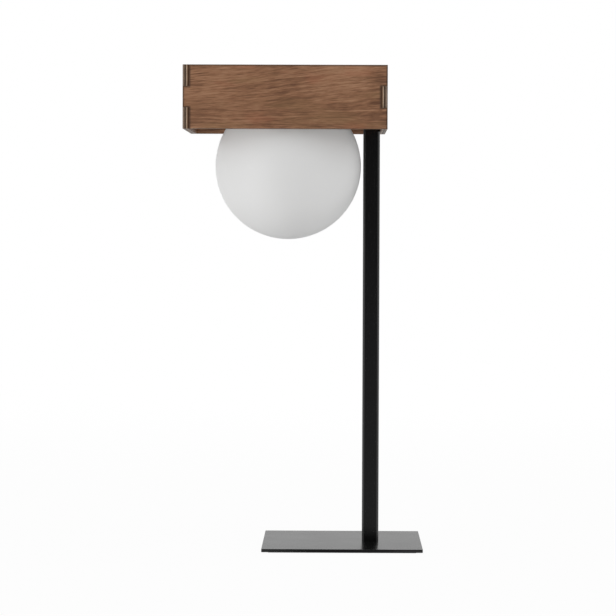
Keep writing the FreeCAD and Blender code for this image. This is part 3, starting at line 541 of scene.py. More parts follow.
def make_post():
    paint = powder_coat("post_powder_coat", 0.20, 0.02, shine=0.8, pale=0.4)
    smooth_copy("post_tube", paint, "frame", "post")
    zinc = metal("foot_zinc", (0.62, 0.63, 0.65), 0.32, (1.5, 1.5, 0.2), 2.0)
    raw = metal("plug_steel", (0.42, 0.42, 0.43), 0.42, (0.3, 4.0, 0.3), 6.0)
    smooth_copy("foot_screw_steel", zinc, "frame", "foot_screw")
    smooth_copy("foot_dowel", zinc, "frame", "foot_pin")
    smooth_copy("foot_block", raw, "frame", "foot_plug")


make_post()

# ---- Grommets -----------------------------------------------------------------------------
# Two moulded rubber bushes line the holes of the tube: one low behind the post, where a
# mains cord goes in, and one high on its left face, where the leads come out.

CORD_BORE, LEAD_BORE = 3.5, 2.8     # radii
GROMMET_WALL = 1.4
LIP_STEP = 0.65             # how much smaller than the flange the lip inside is
CORNER_REACHES = [0.3, 0.35, 0.3, 0.0, 0.0, 0.25, 0.75, 0.5]    # of the rounds of its section
TUBE_WALL = 1.5
TUBE_FLAT = 5.5             # half the flat inside of a wall of the tube


def soften(corners, reaches, steps=5):
    """Corner points joined by straight runs and, at each corner between, by the arc that
    touches both runs at that corner's reach."""
    corners = np.asarray(corners, float)
    line = [corners[:1]]
    part = np.linspace(0, 1, steps + 1)[:, None]
    for before, corner, after, reach in zip(corners, corners[1:], corners[2:], reaches):
        into = (corner - before) / np.linalg.norm(corner - before)
        out = (after - corner) / np.linalg.norm(after - corner)
        turn = math.acos(max(-1.0, min(1.0, float(into @ out))))
        if reach == 0 or turn < 1e-4:
            line.append(corner[None])
            continue
        across = (out - into * (into @ out)) / math.sin(turn)
        bend = reach / math.tan(turn / 2)
        bent = np.sin(turn * part) * into + (1 - np.cos(turn * part)) * across
        line.append(corner - into * reach + bend * bent)
    line.append(corners[-1:])
    return np.concatenate(line)


def turned(profile, centre, axis=2, count=96, shift=None):
    """Profile of (radius, distance along the axis) points carried round an axis. shift adds
    to the radius, as a function of the radius, the angle and the distance."""
    angle = np.arange(count) * 2 * math.pi / count
    radius, along = (c[:, None] + 0 * angle for c in np.asarray(profile, float).T)
    if shift is not None:
        radius = radius + np.where(radius > 0, shift(radius, angle[None, :] + 0 * along, along), 0)
    ring = np.stack((radius * np.cos(angle), radius * np.sin(angle), along), -1).reshape(-1, 3)
    faces = grid_faces(len(profile), count)
    return np.roll(ring, axis + 1, axis=1) + centre, faces, [1] * len(faces)


def section(corners, reaches):
    """Closed profile: its first corner is repeated at the end, midway along its first run."""
    corners = np.asarray(corners, float)
    start = (corners[0] + corners[1]) / 2
    return soften([start, *corners[1:], corners[0], start], [*reaches[1:], reaches[0]])


def make_grommet(name, node, axis, bore, face, outwards):
    """Bush with a rounded flange outside the wall and a thinner lip inside it."""
    low, high = node_box(node)
    middle = (low + high) / 2
    middle[axis] = 0.0
    flange = (high - low)[(axis + 1) % 3] / 2
    wall_hole = bore + GROMMET_WALL
    lip = min(flange - LIP_STEP, TUBE_FLAT)
    inner, outer = (low[axis], high[axis])[::outwards]
    wall = face - outwards * TUBE_WALL
    corners = [
        (bore, inner), (lip, inner), (lip, wall), (wall_hole, wall),
        (wall_hole, face), (flange, face), (flange, outer), (bore, outer),
    ]
    bloom, skin = (3.0, 3.0, 4.0, 0.2), (0.3, 2.0, 9.0, 0.0)
    blacks = [(0.011, 0.011, 0.011), (0.022, 0.022, 0.021)]
    rubber = even_finish(name + "_rubber", blacks, 0.5, bloom, skin, 0.02)
    shell = turned(section(corners, CORNER_REACHES), middle, axis, 72)
    piece(name, [shell], [rubber], "frame", [node])


post_low, post_high = node_box("post")
make_grommet("cord_grommet", "cord_inlet_grommet", 1, CORD_BORE, post_high[1], 1)
make_grommet("lead_bush", "wiring_bush", 0, LEAD_BORE, post_low[0], -1)

# ---- Plywood box --------------------------------------------------------------------------
# Four walls of 6 mm walnut-faced plywood, laser cut and locked at the corners by three
# fingers a side. The cut edges show the plies and are scorched brown; the faces are oiled.

PLY = 6.0
FINGERS = 3
FINGER_REACH = 6.1          # depth of a slot: the plywood and the kerf
FINGER_SLACK = 0.05         # half the kerf, on each side of a slot
PLY_EASE = 0.18
CLEAN_SIDE = 1.3            # how much less scorch the lower edge of a wall has
BURN_REACH, BURN_DEPTH = 1.9, 0.40      # of the uneven scorch from a cut edge
HAZE_REACH, HAZE_DEPTH = (2.4, 0.2), 0.42       # and of the even brown under it
BEAM_PITCH, BEAM_LENGTH = 0.35, 7.0     # size of the beam's marks across an edge
PLY_WANDER = 0.35           # how far a ply swings out of its place
PATCH_SHARE, BEAM_SHARE = 0.9, 0.7      # what the patches and the marks add to the scorch
SLOW_BEND, QUICK_BEND = 7, 1.1      # how far the grain swings
ZONE_SHARE, STREAK_SHARE = 0.7, 0.8     # what each part of the figure adds to its tone
FIBRE_SHARE, LINE_SHARE = 1.45, 0.27
MIDDLE_TONE, MIDDLE_SCORCH = 0.475, 0.28
OLIVE_SHARE, RED_SHARE, PORE_SHARE = 0.45, 0.42, 0.5    # how strongly each tints the wood
GRAIN_MIDDLE, GRAIN_CLIMB = 100.0, 0.10     # front wall: where its grain turns, and its slope
CLIMB_RISE = (2.0, 34.0)    # heights over which the slope sets in
PALE_RUN = (90.0, 150.0)    # where it turns paler above the pale height, and darker below
PALE_HEIGHT, PALENESS = 30, 0.22
SMOKE_RUN, SMOKE_RISE = (168.0, 179.0), (18.0, 28.0)    # where the smoke at its end sets in
SMOKE = 0.2
FACE_DARK = (0.130, 0.059, 0.031)
FACE_BROWN = (0.260, 0.126, 0.066)
FACE_LIGHT = (0.374, 0.200, 0.113)
FACE_RED = (0.333, 0.116, 0.061)
FACE_OLIVE = (0.236, 0.135, 0.062)
SCORCH = (0.028, 0.017, 0.012)
PLIES = [                   # start of the ply as a share of the thickness, and its colour
    (0.00, (0.150, 0.095, 0.062)),
    (0.06, (0.300, 0.228, 0.175)),
    (0.22, (0.155, 0.103, 0.070)),
    (0.38, (0.048, 0.024, 0.012)),
    (0.54, (0.440, 0.322, 0.228)),
    (0.69, (0.235, 0.142, 0.088)),
    (0.83, (0.068, 0.028, 0.010)),
]


def local(finish, axis):
    """Distance in millimetres along an axis from an origin, one way or the other."""
    name, sign, origin = axis
    return (finish.axis(name) - origin) * sign


def drawn(wood, along, across, size, detail, seed, roughness=0.5):
    """Noise whose features have one size along the grain and another across it."""
    place = wood.point(along / size[0], across / size[1], 0.0)
    return wood.noise_at(place, detail, seed, roughness)


def figure(wood, along, across, seed, lift):
    """Walnut figure from long noise across the grain, bent by slower noise: gives the broad
    zones, the streaks, the fibres, the pale lines and the pores, each from 0 to 1."""
    slow = drawn(wood, along, across, (120, 40), 1.0, seed)
    quick = drawn(wood, along, across, (30, 12), 1.0, seed + 3)
    bent = across + (slow - 0.5) * SLOW_BEND + (quick - 0.5) * QUICK_BEND - lift
    zones = drawn(wood, along, bent, (60, 26), 1.0, seed + 5)
    streaks = drawn(wood, along, bent, (38, 1.45), 1.0, seed + 7)
    fibres = drawn(wood, along, bent, (11, 0.8), 2.0, seed + 11, 0.6)
    lines = drawn(wood, along, bent, (130, 2.3), 0.0, seed + 13)
    pores = drawn(wood, along, bent, (6.5, 0.5), 1.0, seed + 19)
    return zones, streaks, fibres, lines.between(0.60, 0.78), pores.between(0.60, 0.74)


def scorched(wood, distance, reach, seed):
    """1 at a cut edge, fading unevenly over a reach."""
    flicker = wood.noise(2.2, 3.0, seed)
    return (distance / (reach * (0.55 + flicker * 0.9))).between(1.0, 0.0)


def veneer(name, along, across, edge_distance, seed, sweep=None):
    """Oiled walnut veneer. edge_distance(wood, u, w) is the way to the nearest cut edge, and
    sweep(u, w) gives how far the grain is bent and how much paler it is."""
    wood = Finish(name)
    u, w = local(wood, along), local(wood, across)
    lift, pale = sweep(u, w) if sweep else (0.0, 0.0)
    zones, streaks, fibres, lines, pores = figure(wood, u, w, seed, lift)
    tone = (zones - 0.5) * ZONE_SHARE + (streaks - 0.5) * STREAK_SHARE
    tone = tone + (fibres - 0.5) * FIBRE_SHARE + lines * LINE_SHARE + MIDDLE_TONE + pale
    colour = wood.add(
        "ShaderNodeValToRGB",
        {"stops": [(0.14, FACE_DARK), (0.5, FACE_BROWN), (0.86, FACE_LIGHT)]},
        {"Fac": tone},
    )
    red = drawn(wood, u, w, (46, 15), 2.0, seed + 23).between(0.52, 0.74)
    olive = drawn(wood, u, w, (60, 13), 2.0, seed + 29).between(0.50, 0.74)
    colour = wood.mix(olive * OLIVE_SHARE, colour, FACE_OLIVE)
    colour = wood.mix(red * RED_SHARE, colour, FACE_RED)
    colour = wood.mix(pores * PORE_SHARE, colour, FACE_DARK)
    rim = edge_distance(wood, u, w)
    burn = scorched(wood, rim, BURN_REACH, seed + 31) * BURN_DEPTH
    burn = burn + rim.between(*HAZE_REACH) * HAZE_DEPTH
    colour = wood.mix(burn, colour, SCORCH)
    gloss = 0.50 + (fibres - 0.5) * 0.16 + pores * 0.12 + burn * 0.15
    height = fibres * 0.5 + (1 - pores) * 0.5
    return wood.done(colour, gloss, Normal=wood.relief(height, 0.045), Specular_IOR_Level=0.35)


def cut_edge(name, through, seed, plies=0.0):
    """Laser-cut edge of the plywood: the plies in their order from the outer face, the marks
    of the beam across them and patches of scorch."""
    wood = Finish(name)
    depth = local(wood, through) + plies
    wander = wood.noise(6.0, 3.0, seed) - 0.5
    layer = wood.add(
        "ShaderNodeValToRGB",
        {"stops": PLIES, "interpolation": "CONSTANT"},
        {"Fac": (depth + wander * PLY_WANDER) / PLY},
    )
    sizes = tuple(BEAM_LENGTH if axis == through[0] else BEAM_PITCH for axis in "XYZ")
    beam = wood.noise(sizes, 2.0, seed + 5)
    patch = wood.noise(7.0, 3.0, seed + 9)
    burn = (patch - 0.5) * PATCH_SHARE + (beam - 0.5) * BEAM_SHARE + MIDDLE_SCORCH
    colour = wood.mix(burn.between(0.0, 1.0) * 0.9, layer, SCORCH)
    return wood.done(
        colour, 0.50 + (beam - 0.5) * 0.2, Normal=wood.relief(beam, 0.06), Specular_IOR_Level=0.25
    )


def finger_outline(length, height):
    """Wall of the box seen from outside: its left end keeps the middle finger, its right end
    the lower and upper ones."""
    pitch = height / FINGERS
    low, high = pitch, 2 * pitch
    s, r = FINGER_SLACK, FINGER_REACH
    return np.array([
        (r, 0), (length, 0), (length, low - s), (length - r, low - s),
        (length - r, high + s), (length, high + s), (length, height), (r, height),
        (r, high - s), (0, high - s), (0, low + s), (r, low + s),
    ])


def finger_distance(length, height):
    """Way from a point inside the wall's outline to the nearest cut edge."""
    pitch = height / FINGERS

    def distance(wood, u, w):
        def corner(across, up):
            return (across.most(0.0) ** 2 + up.most(0.0) ** 2) ** 0.5

        ends = u.least(length - u).least(w + CLEAN_SIDE).least(height - w)
        lower = corner(u - FINGER_REACH, w - pitch)
        upper = corner(u - FINGER_REACH, 2 * pitch - w)
        right = corner(length - FINGER_REACH - u, abs(w - height / 2) - pitch / 2)
        return ends.least(lower).least(upper).least(right)

    return distance


def front_grain(u, w):
    """Front wall: its grain climbs to the right above the lower third, turning about the
    middle of the wall. On the right the wood is paler above and darker below, and its end is
    smoked brown round the finger."""
    lift = (u - GRAIN_MIDDLE) * w.between(*CLIMB_RISE) * GRAIN_CLIMB
    pale = u.between(*PALE_RUN) * (w / PALE_HEIGHT - 1)
    smoke = u.between(*SMOKE_RUN) * w.between(*SMOKE_RISE)
    return lift, pale * PALENESS - smoke * SMOKE


def make_wall(node, name, run, through, seed, sweep=None, plies=0.0):
    """One wall. run and through are the axes of its length and of its depth as (name, sign,
    origin), and plies is how far its plies lie outwards."""
    low, high = node_box(node)
    length, height = float(max((high - low)[:2])), float(high[2] - low[2])
    points, faces, kinds = plate(finger_outline(length, height), eased(0.0, PLY, PLY_EASE, 2))
    placed = np.empty_like(points)
    for (axis, sign, origin), ways in zip((run, ("Z", 1, low[2]), through), points.T):
        placed[:, "XYZ".index(axis)] = origin + sign * ways
    rim = finger_distance(length, height)
    face = veneer(name + "_veneer", run, ("Z", 1, low[2]), rim, seed, sweep)
    edge = cut_edge(name + "_plies", through, seed + 41, plies)
    piece(name, [(placed, faces, kinds)], [face, edge], "frame", [node])


def make_walls():
    """Each wall is turned a quarter from the last, so the same outline closes into a box."""
    left, front, _ = node_box("left_panel")[0]
    right, back, _ = node_box("right_panel")[1]
    from_left, from_right = ("X", 1, left), ("X", -1, right)
    from_front, from_back = ("Y", 1, front), ("Y", -1, back)
    make_wall("front_panel", "front_wall", from_left, from_front, 1.7, front_grain)
    make_wall("right_panel", "right_wall", from_front, from_right, 12.1, plies=-0.25)
    make_wall("rear_panel", "rear_wall", from_right, from_back, 23.9)
    make_wall("left_panel", "left_wall", from_back, from_left, 35.3, plies=0.15)


make_walls()

# ---- Top panel, battens and inserts -------------------------------------------------------
# The top is let in between the walls. Two sawn battens are glued in the corners below it,
# and brass inserts in its underside take the screws of the steel carrier.

BATTEN_PALE = (0.60, 0.44, 0.27)
BATTEN_LATE = (0.42, 0.27, 0.14)
BATTEN_SIDE, BATTEN_CHAMFER, BATTEN_EASE = 8.0, 2.0, 0.3
INSERT_HOLE, INSERT_DEPTH = 3.05, 4.65
TOP_CORNER = 0.05
CARRIER_SCREWS = [(-81.0, -20.0), (-81.0, 20.0), (27.2, -20.0), (27.2, 20.0)]


def make_top():
    (x0, y0, z0), (x1, y1, z1) = node_box("top_panel")
    width, depth = float(x1 - x0), float(y1 - y0)

    def rim(wood, u, w):
        return u.least(width - u).least(w).least(depth - w)

    face = veneer("top_veneer", ("X", 1, x0), ("Y", 1, y0), rim, 47.0)
    edge = cut_edge("top_plies", ("Z", -1, z1), 53.0)
    blind = [(0.0, z0), (0.0, z0 + INSERT_DEPTH)]
    holes = [(hole(x, y, INSERT_HOLE), blind) for x, y in CARRIER_SCREWS]
    outline = rectangle((x0, x1), (y0, y1), TOP_CORNER, 1)
    shell = plate(outline, eased(z0, z1, PLY_EASE, 2), holes)
    piece("top_board", [shell], [face, edge], "frame", ["top_panel"])


def batten_finish():
    """Sawn softwood: pale with darker late wood in long lines, and fine saw marks across it."""
    wood = Finish("batten_pine")
    rings = wood.noise((160.0, 1.3, 1.3), 3.0, 6.0)
    fibre = wood.noise((9.0, 0.3, 0.3), 2.0, 8.0)
    saw = wood.noise((0.5, 9.0, 9.0), 2.0, 3.0)
    colour = wood.mix(rings.between(0.45, 0.68), BATTEN_PALE, BATTEN_LATE)
    colour = wood.mix(fibre.between(0.55, 0.8) * 0.35, colour, BATTEN_LATE)
    height = fibre * 0.4 + saw * 0.6
    return wood.done(colour, 0.68 + (fibre - 0.5) * 0.2, Normal=wood.relief(height, 0.09))


def make_battens():
    """A batten is its five-sided section, chamfered at the free corner, carried along X."""
    (x0, y0, z0), (x1, y1, z1) = node_box("glue_battens")
    shells = []
    for side, wall in ((-1, y0), (1, y1)):
        near = wall - side * BATTEN_SIDE
        corner = [(near + side * BATTEN_CHAMFER, z0), (near, z0 + BATTEN_CHAMFER)]
        outline = np.array([(wall, z0), *corner, (near, z1), (wall, z1)])
        points, faces, kinds = plate(outline[::-side], eased(x0, x1, BATTEN_EASE))
        shells.append((np.roll(points, 1, axis=1), faces, kinds))
    pine = batten_finish()
    piece("battens", shells, [pine], "frame", ["glue_battens"])


make_top()
make_battens()
brass = metal("insert_brass", (0.75, 0.55, 0.25), 0.28, (0.25, 0.25, 1.2), 3.0)
smooth_copy("inserts_brass", brass, "frame", "panel_inserts")

# ---- Carrier and its screws ---------------------------------------------------------------
# A steel plate in the same black, welded on top of the tube. It is drawn up against the top
# panel by four pan-head screws and carries everything that hangs inside the box.

CARRIER_CORNER, CARRIER_EASE = 5.0, 0.35
HOLE_EASE = 0.12
GLOBE_X = -53.0             # axis of the globe, the bulb and all that holds them
CUP_SCREWS = [(GLOBE_X, -12.0), (GLOBE_X, 12.0)]
LEAD_X, LEAD_Y = 7.0, 5.8   # of the leads at the holder, from the globe's axis
LEAD_SLOT = 1.5             # half the width of a slot that a lead passes
SLOT_LENGTH = 18.5          # in the carrier, between the middles of the round ends
EARTH_SCREW = (-25.0, -20.0)
BLOCK_X = -6.2
BLOCK_SCREWS = [(BLOCK_X, -5.0), (BLOCK_X, 5.0)]
M4, M3 = 2.0, 1.5           # radius of a screw
M4_HEAD, M3_HEAD = (3.4, 2.4), (2.6, 1.8)   # radius and height of its head
PASSED, TAPPED = 0.25, 0.05     # how much wider a hole is that a screw passes, or bites into
SCREW_TIP = 0.4
HEAD_FACE, HEAD_CROWN = 0.72, 0.10      # shares of a head: its face and the dome on it,
HEAD_SIDE, HEAD_BEND = 0.80, 0.3        # its side and the bend between the two,
ARM_SIDE, ARM_END = (0.10, 0.19), (0.42, 0.66)      # the slopes of the cross recess
RECESS = 0.62               # and its depth


def lead_slots(length, rows):
    """The two slots that the leads pass, of a length between the middles of their ends."""
    start = GLOBE_X + LEAD_X
    return [(hole(start, y, LEAD_SLOT, length=length), rows) for y in (-LEAD_Y, LEAD_Y)]


def make_carrier():
    (x0, y0, z0), (x1, y1, z1) = node_box("carrier_plate")
    through = eased(z0, z1, HOLE_EASE, 2)
    places = [(*place, M4 + PASSED) for place in CARRIER_SCREWS]
    places += [(*place, M4 + TAPPED) for place in (*CUP_SCREWS, EARTH_SCREW)]
    places += [(*place, M3 + TAPPED) for place in BLOCK_SCREWS]
    holes = [(hole(*place), through) for place in places] + lead_slots(SLOT_LENGTH, through)
    outline = rectangle((x0, x1), (y0, y1), CARRIER_CORNER)
    shell = plate(outline, eased(z0, z1, CARRIER_EASE), holes)
    paint = powder_coat("carrier_powder_coat", 0.4, 0.02)
    piece("carrier_steel", [shell], [paint], "frame", ["carrier_plate"])


def soft_step(value, low, high):
    """0 up to low and 1 from high on; between them 3 t^2 - 2 t^3 of the share t of the way."""
    share = np.clip((value - low) / (high - low), 0, 1)
    return share * share * (3 - 2 * share)


def pan_screw(x, y, seat, radius, length, head, rise):
    """Pan-head screw driven upwards: a turned shank and, below its seat, a head whose face is
    a shallow dome with a cross recess, as a height over the radius and the angle."""
    count = 72
    angle = np.arange(count) * 2 * math.pi / count
    face = np.linspace(0, HEAD_FACE * head, 26)
    corners = [(HEAD_FACE * head, -rise), (head, -HEAD_SIDE * rise), (head, 0.0)]
    edge = soften(corners, [HEAD_BEND * rise])[1:]
    radii = np.concatenate((face, edge[:, 0]))
    dome = np.concatenate((np.full(len(face), -rise), edge[:, 1]))
    dome = dome + HEAD_CROWN * rise * (radii / head) ** 2 * (dome < -rise / 2)
    across, along = radii[:, None] * np.cos(angle), radii[:, None] * np.sin(angle)
    narrow = np.minimum(abs(across), abs(along)) / head
    far = np.maximum(abs(across), abs(along)) / head
    arm = (1 - soft_step(narrow, *ARM_SIDE)) * (1 - soft_step(far, *ARM_END))
    lower = np.stack((across, along, dome[:, None] + RECESS * rise * arm), -1).reshape(-1, 3)
    side, tip = length - SCREW_TIP, radius - SCREW_TIP
    shank = [(radius, 0.0), (radius, side), (tip, length), (0.0, length)]
    upper, _, _ = turned(shank, (0, 0, 0), count=count)
    faces = grid_faces(len(radii) + len(shank), count)
    return np.concatenate((lower, upper)) + (x, y, seat), faces, [1] * len(faces)


def screw_set(name, node, places, radius, head):
    """The screws of a node, each with its head down and its tip at the top of the node."""
    low, high = node_box(node)
    seat = low[2] + head[1]
    shells = [pan_screw(x, y, seat, radius, high[2] - seat, *head) for x, y in places]
    piece(name, shells, [screw_zinc], "frame", [node])


make_carrier()
screw_zinc = metal("screw_zinc", (0.66, 0.67, 0.69), 0.27, (0.9, 0.9, 0.15), 14.0)
screw_set("carrier_screw_set", "carrier_screws", CARRIER_SCREWS, M4, M4_HEAD)

# ---- Glass holder cup and gasket ----------------------------------------------------------
# A spun steel cup, zinc plated, with a round thread rolled into its wall that takes the
# globe's neck. A ring of clear silicone on its floor seats the rim of the glass.

CUP_WALL = 0.8
CUP_CORNER, CUP_INSIDE = 0.6, 0.5   # radii of the corner at the top, outside and inside
WALL_GAP = 0.1              # between the rows of the wall and a corner
ON_SKIN = 0.02              # points this near to a radius lie on that skin
THREAD_PITCH, THREAD_FADE = 3.4, 1.2
CUP_THREAD = 0.14           # how far the rolled thread stands inwards
CUP_THREAD_ENDS = (437.6, 446.0)
GASKET_BORE, GASKET_ROUND = 17.0, 0.3


def thread(angle, along, ends):
    """Round helical ridge from 0 to 1: a raised cosine along the axis that turns once a pitch,
    squared, and faded in and out at its two ends."""
    ridge = 0.5 + 0.5 * np.cos(2 * math.pi * (along / THREAD_PITCH) - angle)
    to_end = np.minimum(along - ends[0], ends[1] - along)
    return ridge ** 2 * np.clip(to_end / THREAD_FADE, 0, 1)


def make_cup():
    """Its section as rows of (inset, height): the corner under the floor, the wall down inside,
    round the rim and up outside, and the corner at the top. The thread then moves the points
    of the inner wall."""
    low, high = node_box("glass_holder_cup")
    outer, rim, top = (high - low)[0] / 2, low[2], high[2]
    floor, half = top - CUP_WALL, CUP_WALL / 2
    wall = np.linspace(rim + half + WALL_GAP, floor - CUP_INSIDE - WALL_GAP, 60)
    inside = (CUP_WALL + CUP_INSIDE, floor - CUP_INSIDE)
    rows = [
        *arc(inside, CUP_INSIDE, math.pi / 2, math.pi, 4),
        *[(CUP_WALL, height) for height in wall[::-1]],
        *arc((half, rim + half), half, 0, -math.pi, 4),
        *[(0.0, height) for height in wall],
        *arc((CUP_CORNER, top - CUP_CORNER), CUP_CORNER, math.pi, math.pi / 2, 4),
    ]
    through = [(0.0, floor), (0.0, top)]
    holes = [(hole(x, y, M4 + PASSED), through) for x, y in CUP_SCREWS]
    holes += lead_slots(LEAD_SLOT, through)
    points, faces, kinds = plate(hole(GLOBE_X, 0.0, outer, 144)[::-1], rows, holes)
    flat = points[:, :2] - (GLOBE_X, 0.0)
    radius = np.linalg.norm(flat, axis=1)
    angle = np.arctan2(flat[:, 1], flat[:, 0])
    on_wall = radius > outer - CUP_WALL - ON_SKIN
    inwards = CUP_THREAD * thread(angle, points[:, 2], CUP_THREAD_ENDS) * on_wall
    points[:, :2] -= flat / np.maximum(radius, 1e-6)[:, None] * inwards[:, None]
    stain, rings = (8.0, 2.0, 7.0, 0.0), ((40.0, 40.0, 0.22), 3.0, 4.0, 0.2)
    greys = [(0.56, 0.57, 0.58), (0.72, 0.72, 0.73)]
    spun = even_finish("spun_zinc", greys, 0.30, stain, rings, 0.01, Metallic=1.0)
    shells = [(points, faces, kinds)]
    piece("neck_cup", shells, [spun], "frame", ["glass_holder_cup"])


def make_gasket():
    low, high = node_box("neck_gasket")
    inner, outer = GASKET_BORE, (high - low)[0] / 2
    corners = [(inner, low[2]), (outer, low[2]), (outer, high[2]), (inner, high[2])]
    haze = (5.0, 2.0, 4.0, 0.2)
    whites = [(0.60, 0.60, 0.57), (0.76, 0.76, 0.74)]
    silicone = even_finish(
        "gasket_silicone", whites, 0.42, haze, (*haze[:3], 0.0), Transmission_Weight=0.25
    )
    shell = turned(section(corners, [GASKET_ROUND] * 4), (GLOBE_X, 0, 0), count=120)
    piece("gasket_ring", [shell], [silicone], "frame", ["neck_gasket"])


make_cup()
make_gasket()

# ---- Globe --------------------------------------------------------------------------------
# A blown globe of opal glass, etched to a silky white, open at the top. Its neck has a
# moulded thread and a fire-polished rim. The thread holds it in the cup.

GLASS_WALL = 3.0
NECK_BEND = 2.0
RIM_ROUND = 1.2
NECK_THREAD = 0.34
NECK_THREAD_ENDS = (436.2, 446.4)
OPAL_WHITE = (0.80, 0.80, 0.795)


def opal():
    """Etched opal glass: a clean white with the faintest clouds and a silky gloss."""
    cloud, etch = (60.0, 2.0, 2.0, 0.06), (0.5, 2.0, 5.0, 0.06)
    whites = shades(OPAL_WHITE, 1.0, 0.985)
    return even_finish("opal_satin", whites, 0.46, cloud, etch, 0.004, Specular_IOR_Level=0.4)


def make_globe():
    """Section of the glass: the outer skin from the bottom up to the rim, then the inner
    skin back down, each a circle, a bend and a straight neck."""
    low, high = node_box("opal_globe")
    radius = (high - low)[0] / 2
    middle = low[2] + radius
    neck_low, neck_high = node_box("globe_neck")
    neck = (neck_high - neck_low)[0] / 2
    foot, rim = neck_low[2] - middle, neck_high[2] - middle - RIM_ROUND
    lean = math.atan2(foot, neck + NECK_BEND)

    def skin(ball, throat, bend):
        belly = arc((0.0, 0.0), ball, -math.pi / 2, lean, 89)
        hollow = arc((neck + NECK_BEND, foot), bend, math.pi + lean, math.pi, 9)
        straight = np.column_stack((np.full(49, throat), np.linspace(foot, rim, 49)))
        return np.concatenate((belly, hollow[1:], straight[1:]))

    outer = skin(radius, neck, NECK_BEND)
    inner = skin(radius - GLASS_WALL, neck - GLASS_WALL, NECK_BEND + GLASS_WALL)
    crown = arc((0.0, 0.0), 1.0, 0, math.pi, 14)[1:-1] * (GLASS_WALL / 2, RIM_ROUND)
    profile = np.concatenate((outer, crown + (neck - GLASS_WALL / 2, rim), inner[::-1]))
    profile[[0, -1], 0] = 0.0       # both ends lie on the axis

    def screw(radii, angle, along):
        outside = abs(radii - neck) < ON_SKIN
        return NECK_THREAD * thread(angle, along + middle, NECK_THREAD_ENDS) * outside

    shell = turned(profile, (GLOBE_X, 0, middle), count=192, shift=screw)
    nodes = ["opal_globe", "globe_neck"]
    piece("globe_glass", [shell], [opal()], "globe", nodes, smooth=60.0)


make_globe()

# ---- Lamp holder --------------------------------------------------------------------------
# A G9 holder of unglazed steatite hangs from a zinc-plated strap, riveted at both sides. Two
# screws hold the strap and the cup to the carrier; spring leaves inside grip the bulb's pins.


def ceramic_finish():
    """Unglazed ceramic: cream with fine brown specks."""
    stone = Finish("steatite")
    speck = stone.noise(0.35, 3.0, 4.0)
    cloud = stone.noise(6.0, 2.0, 9.0)
    colour = stone.mix(cloud, (0.80, 0.77, 0.70), (0.87, 0.85, 0.80))
    colour = stone.mix(speck.between(0.66, 0.8) * 0.3, colour, (0.55, 0.50, 0.42))
    return stone.done(colour, 0.55 + (speck - 0.5) * 0.2, Normal=stone.relief(speck, 0.03))


def make_holder():
    zinc = metal("strap_zinc", (0.64, 0.65, 0.67), 0.30, (0.2, 3.0, 3.0), 21.0)
    smooth_copy("holder_ceramic", ceramic_finish(), "frame", "lamp_holder", 0.25)
    smooth_copy("holder_strap", zinc, "frame", "holder_bracket", 0.12)
    smooth_copy("strap_rivets", zinc, "frame", "holder_rivets", 0.15)
    smooth_copy("spring_leaves", zinc, "frame", "contact_springs")
    screw_set("cup_screw_pair", "cup_screws", CUP_SCREWS, M4, M4_HEAD)


make_holder()

# ---- Bulb ---------------------------------------------------------------------------------
# A small retrofit bulb: a white moulded base with two wire pins, a column set with
# light-emitting chips and a frosted tube over it.

CHIP_PITCH = 3.2
CHIP_EDGE = (0.30, 0.26)    # share of the pitch from a chip's middle to its edge
BULB_WALL = 1.0


def chip_finish():
    """White board with a row of yellow chips on it, one a pitch."""
    core = Finish("chip_column")
    chip = abs((core.axis("Z") / CHIP_PITCH).rest() - 0.5).between(*CHIP_EDGE)
    board = core.mix(core.noise(4.0, 2.0, 6.0), (0.80, 0.80, 0.78), (0.86, 0.86, 0.85))
    return core.done(core.mix(chip, board, (0.85, 0.62, 0.10)), 0.4 - chip * 0.1)


def make_tube():
    """Section of the frosted tube: a quarter circle and a straight side, outside and inside."""
    low, high = node_box("bulb_envelope")

    def skin(ball, bottom):
        dome = arc((0.0, bottom + ball), ball, -math.pi / 2, 0, 23)
        side = np.column_stack((np.full(10, ball), np.linspace(bottom + ball, high[2], 10)))
        return np.concatenate((dome, side[1:]))

    radius = (high - low)[0] / 2
    inside = skin(radius - BULB_WALL, low[2] + BULB_WALL)
    profile = np.concatenate((skin(radius, low[2]), inside[::-1]))
    profile[[0, -1], 0] = 0.0       # both ends lie on the axis
    mist = (0.4, 3.0, 4.0)
    whites = [(0.88, 0.88, 0.85), (0.93, 0.93, 0.91)]
    glass = even_finish(
        "frosted_tube", whites, 0.45, (*mist, 0.2), (*mist, 0.0), 0.01, Transmission_Weight=0.55
    )
    shell = turned(profile, (GLOBE_X, 0, 0), count=72)
    piece("bulb_tube", [shell], [glass], "bulb", ["bulb_envelope"])


def make_bulb():
    tint, skin = (7.0, 2.0, 5.0, 0.0), (0.4, 2.0, 4.0, 0.15)
    whites = [(0.78, 0.78, 0.76), (0.84, 0.84, 0.82)]
    white = even_finish("bulb_plastic", whites, 0.38, tint, skin, 0.01)
    wire = metal("pin_wire", (0.70, 0.70, 0.71), 0.24, (0.3, 0.3, 2.0), 33.0)
    smooth_copy("bulb_collar", white, "bulb", "bulb_base", 0.2)
    smooth_copy("pin_loops", wire, "bulb", "bulb_pins", 0.1)
    smooth_copy("chip_bar", chip_finish(), "bulb", "led_core", 0.1)
    make_tube()


make_bulb()

# ---- Terminal block, earth and leads ------------------------------------------------------
# A three-pole block of white nylon with brass sleeves, screwed to the carrier. Brown and blue
# leads run to the holder; a green and yellow one is crimped in a lug under the earth screw.

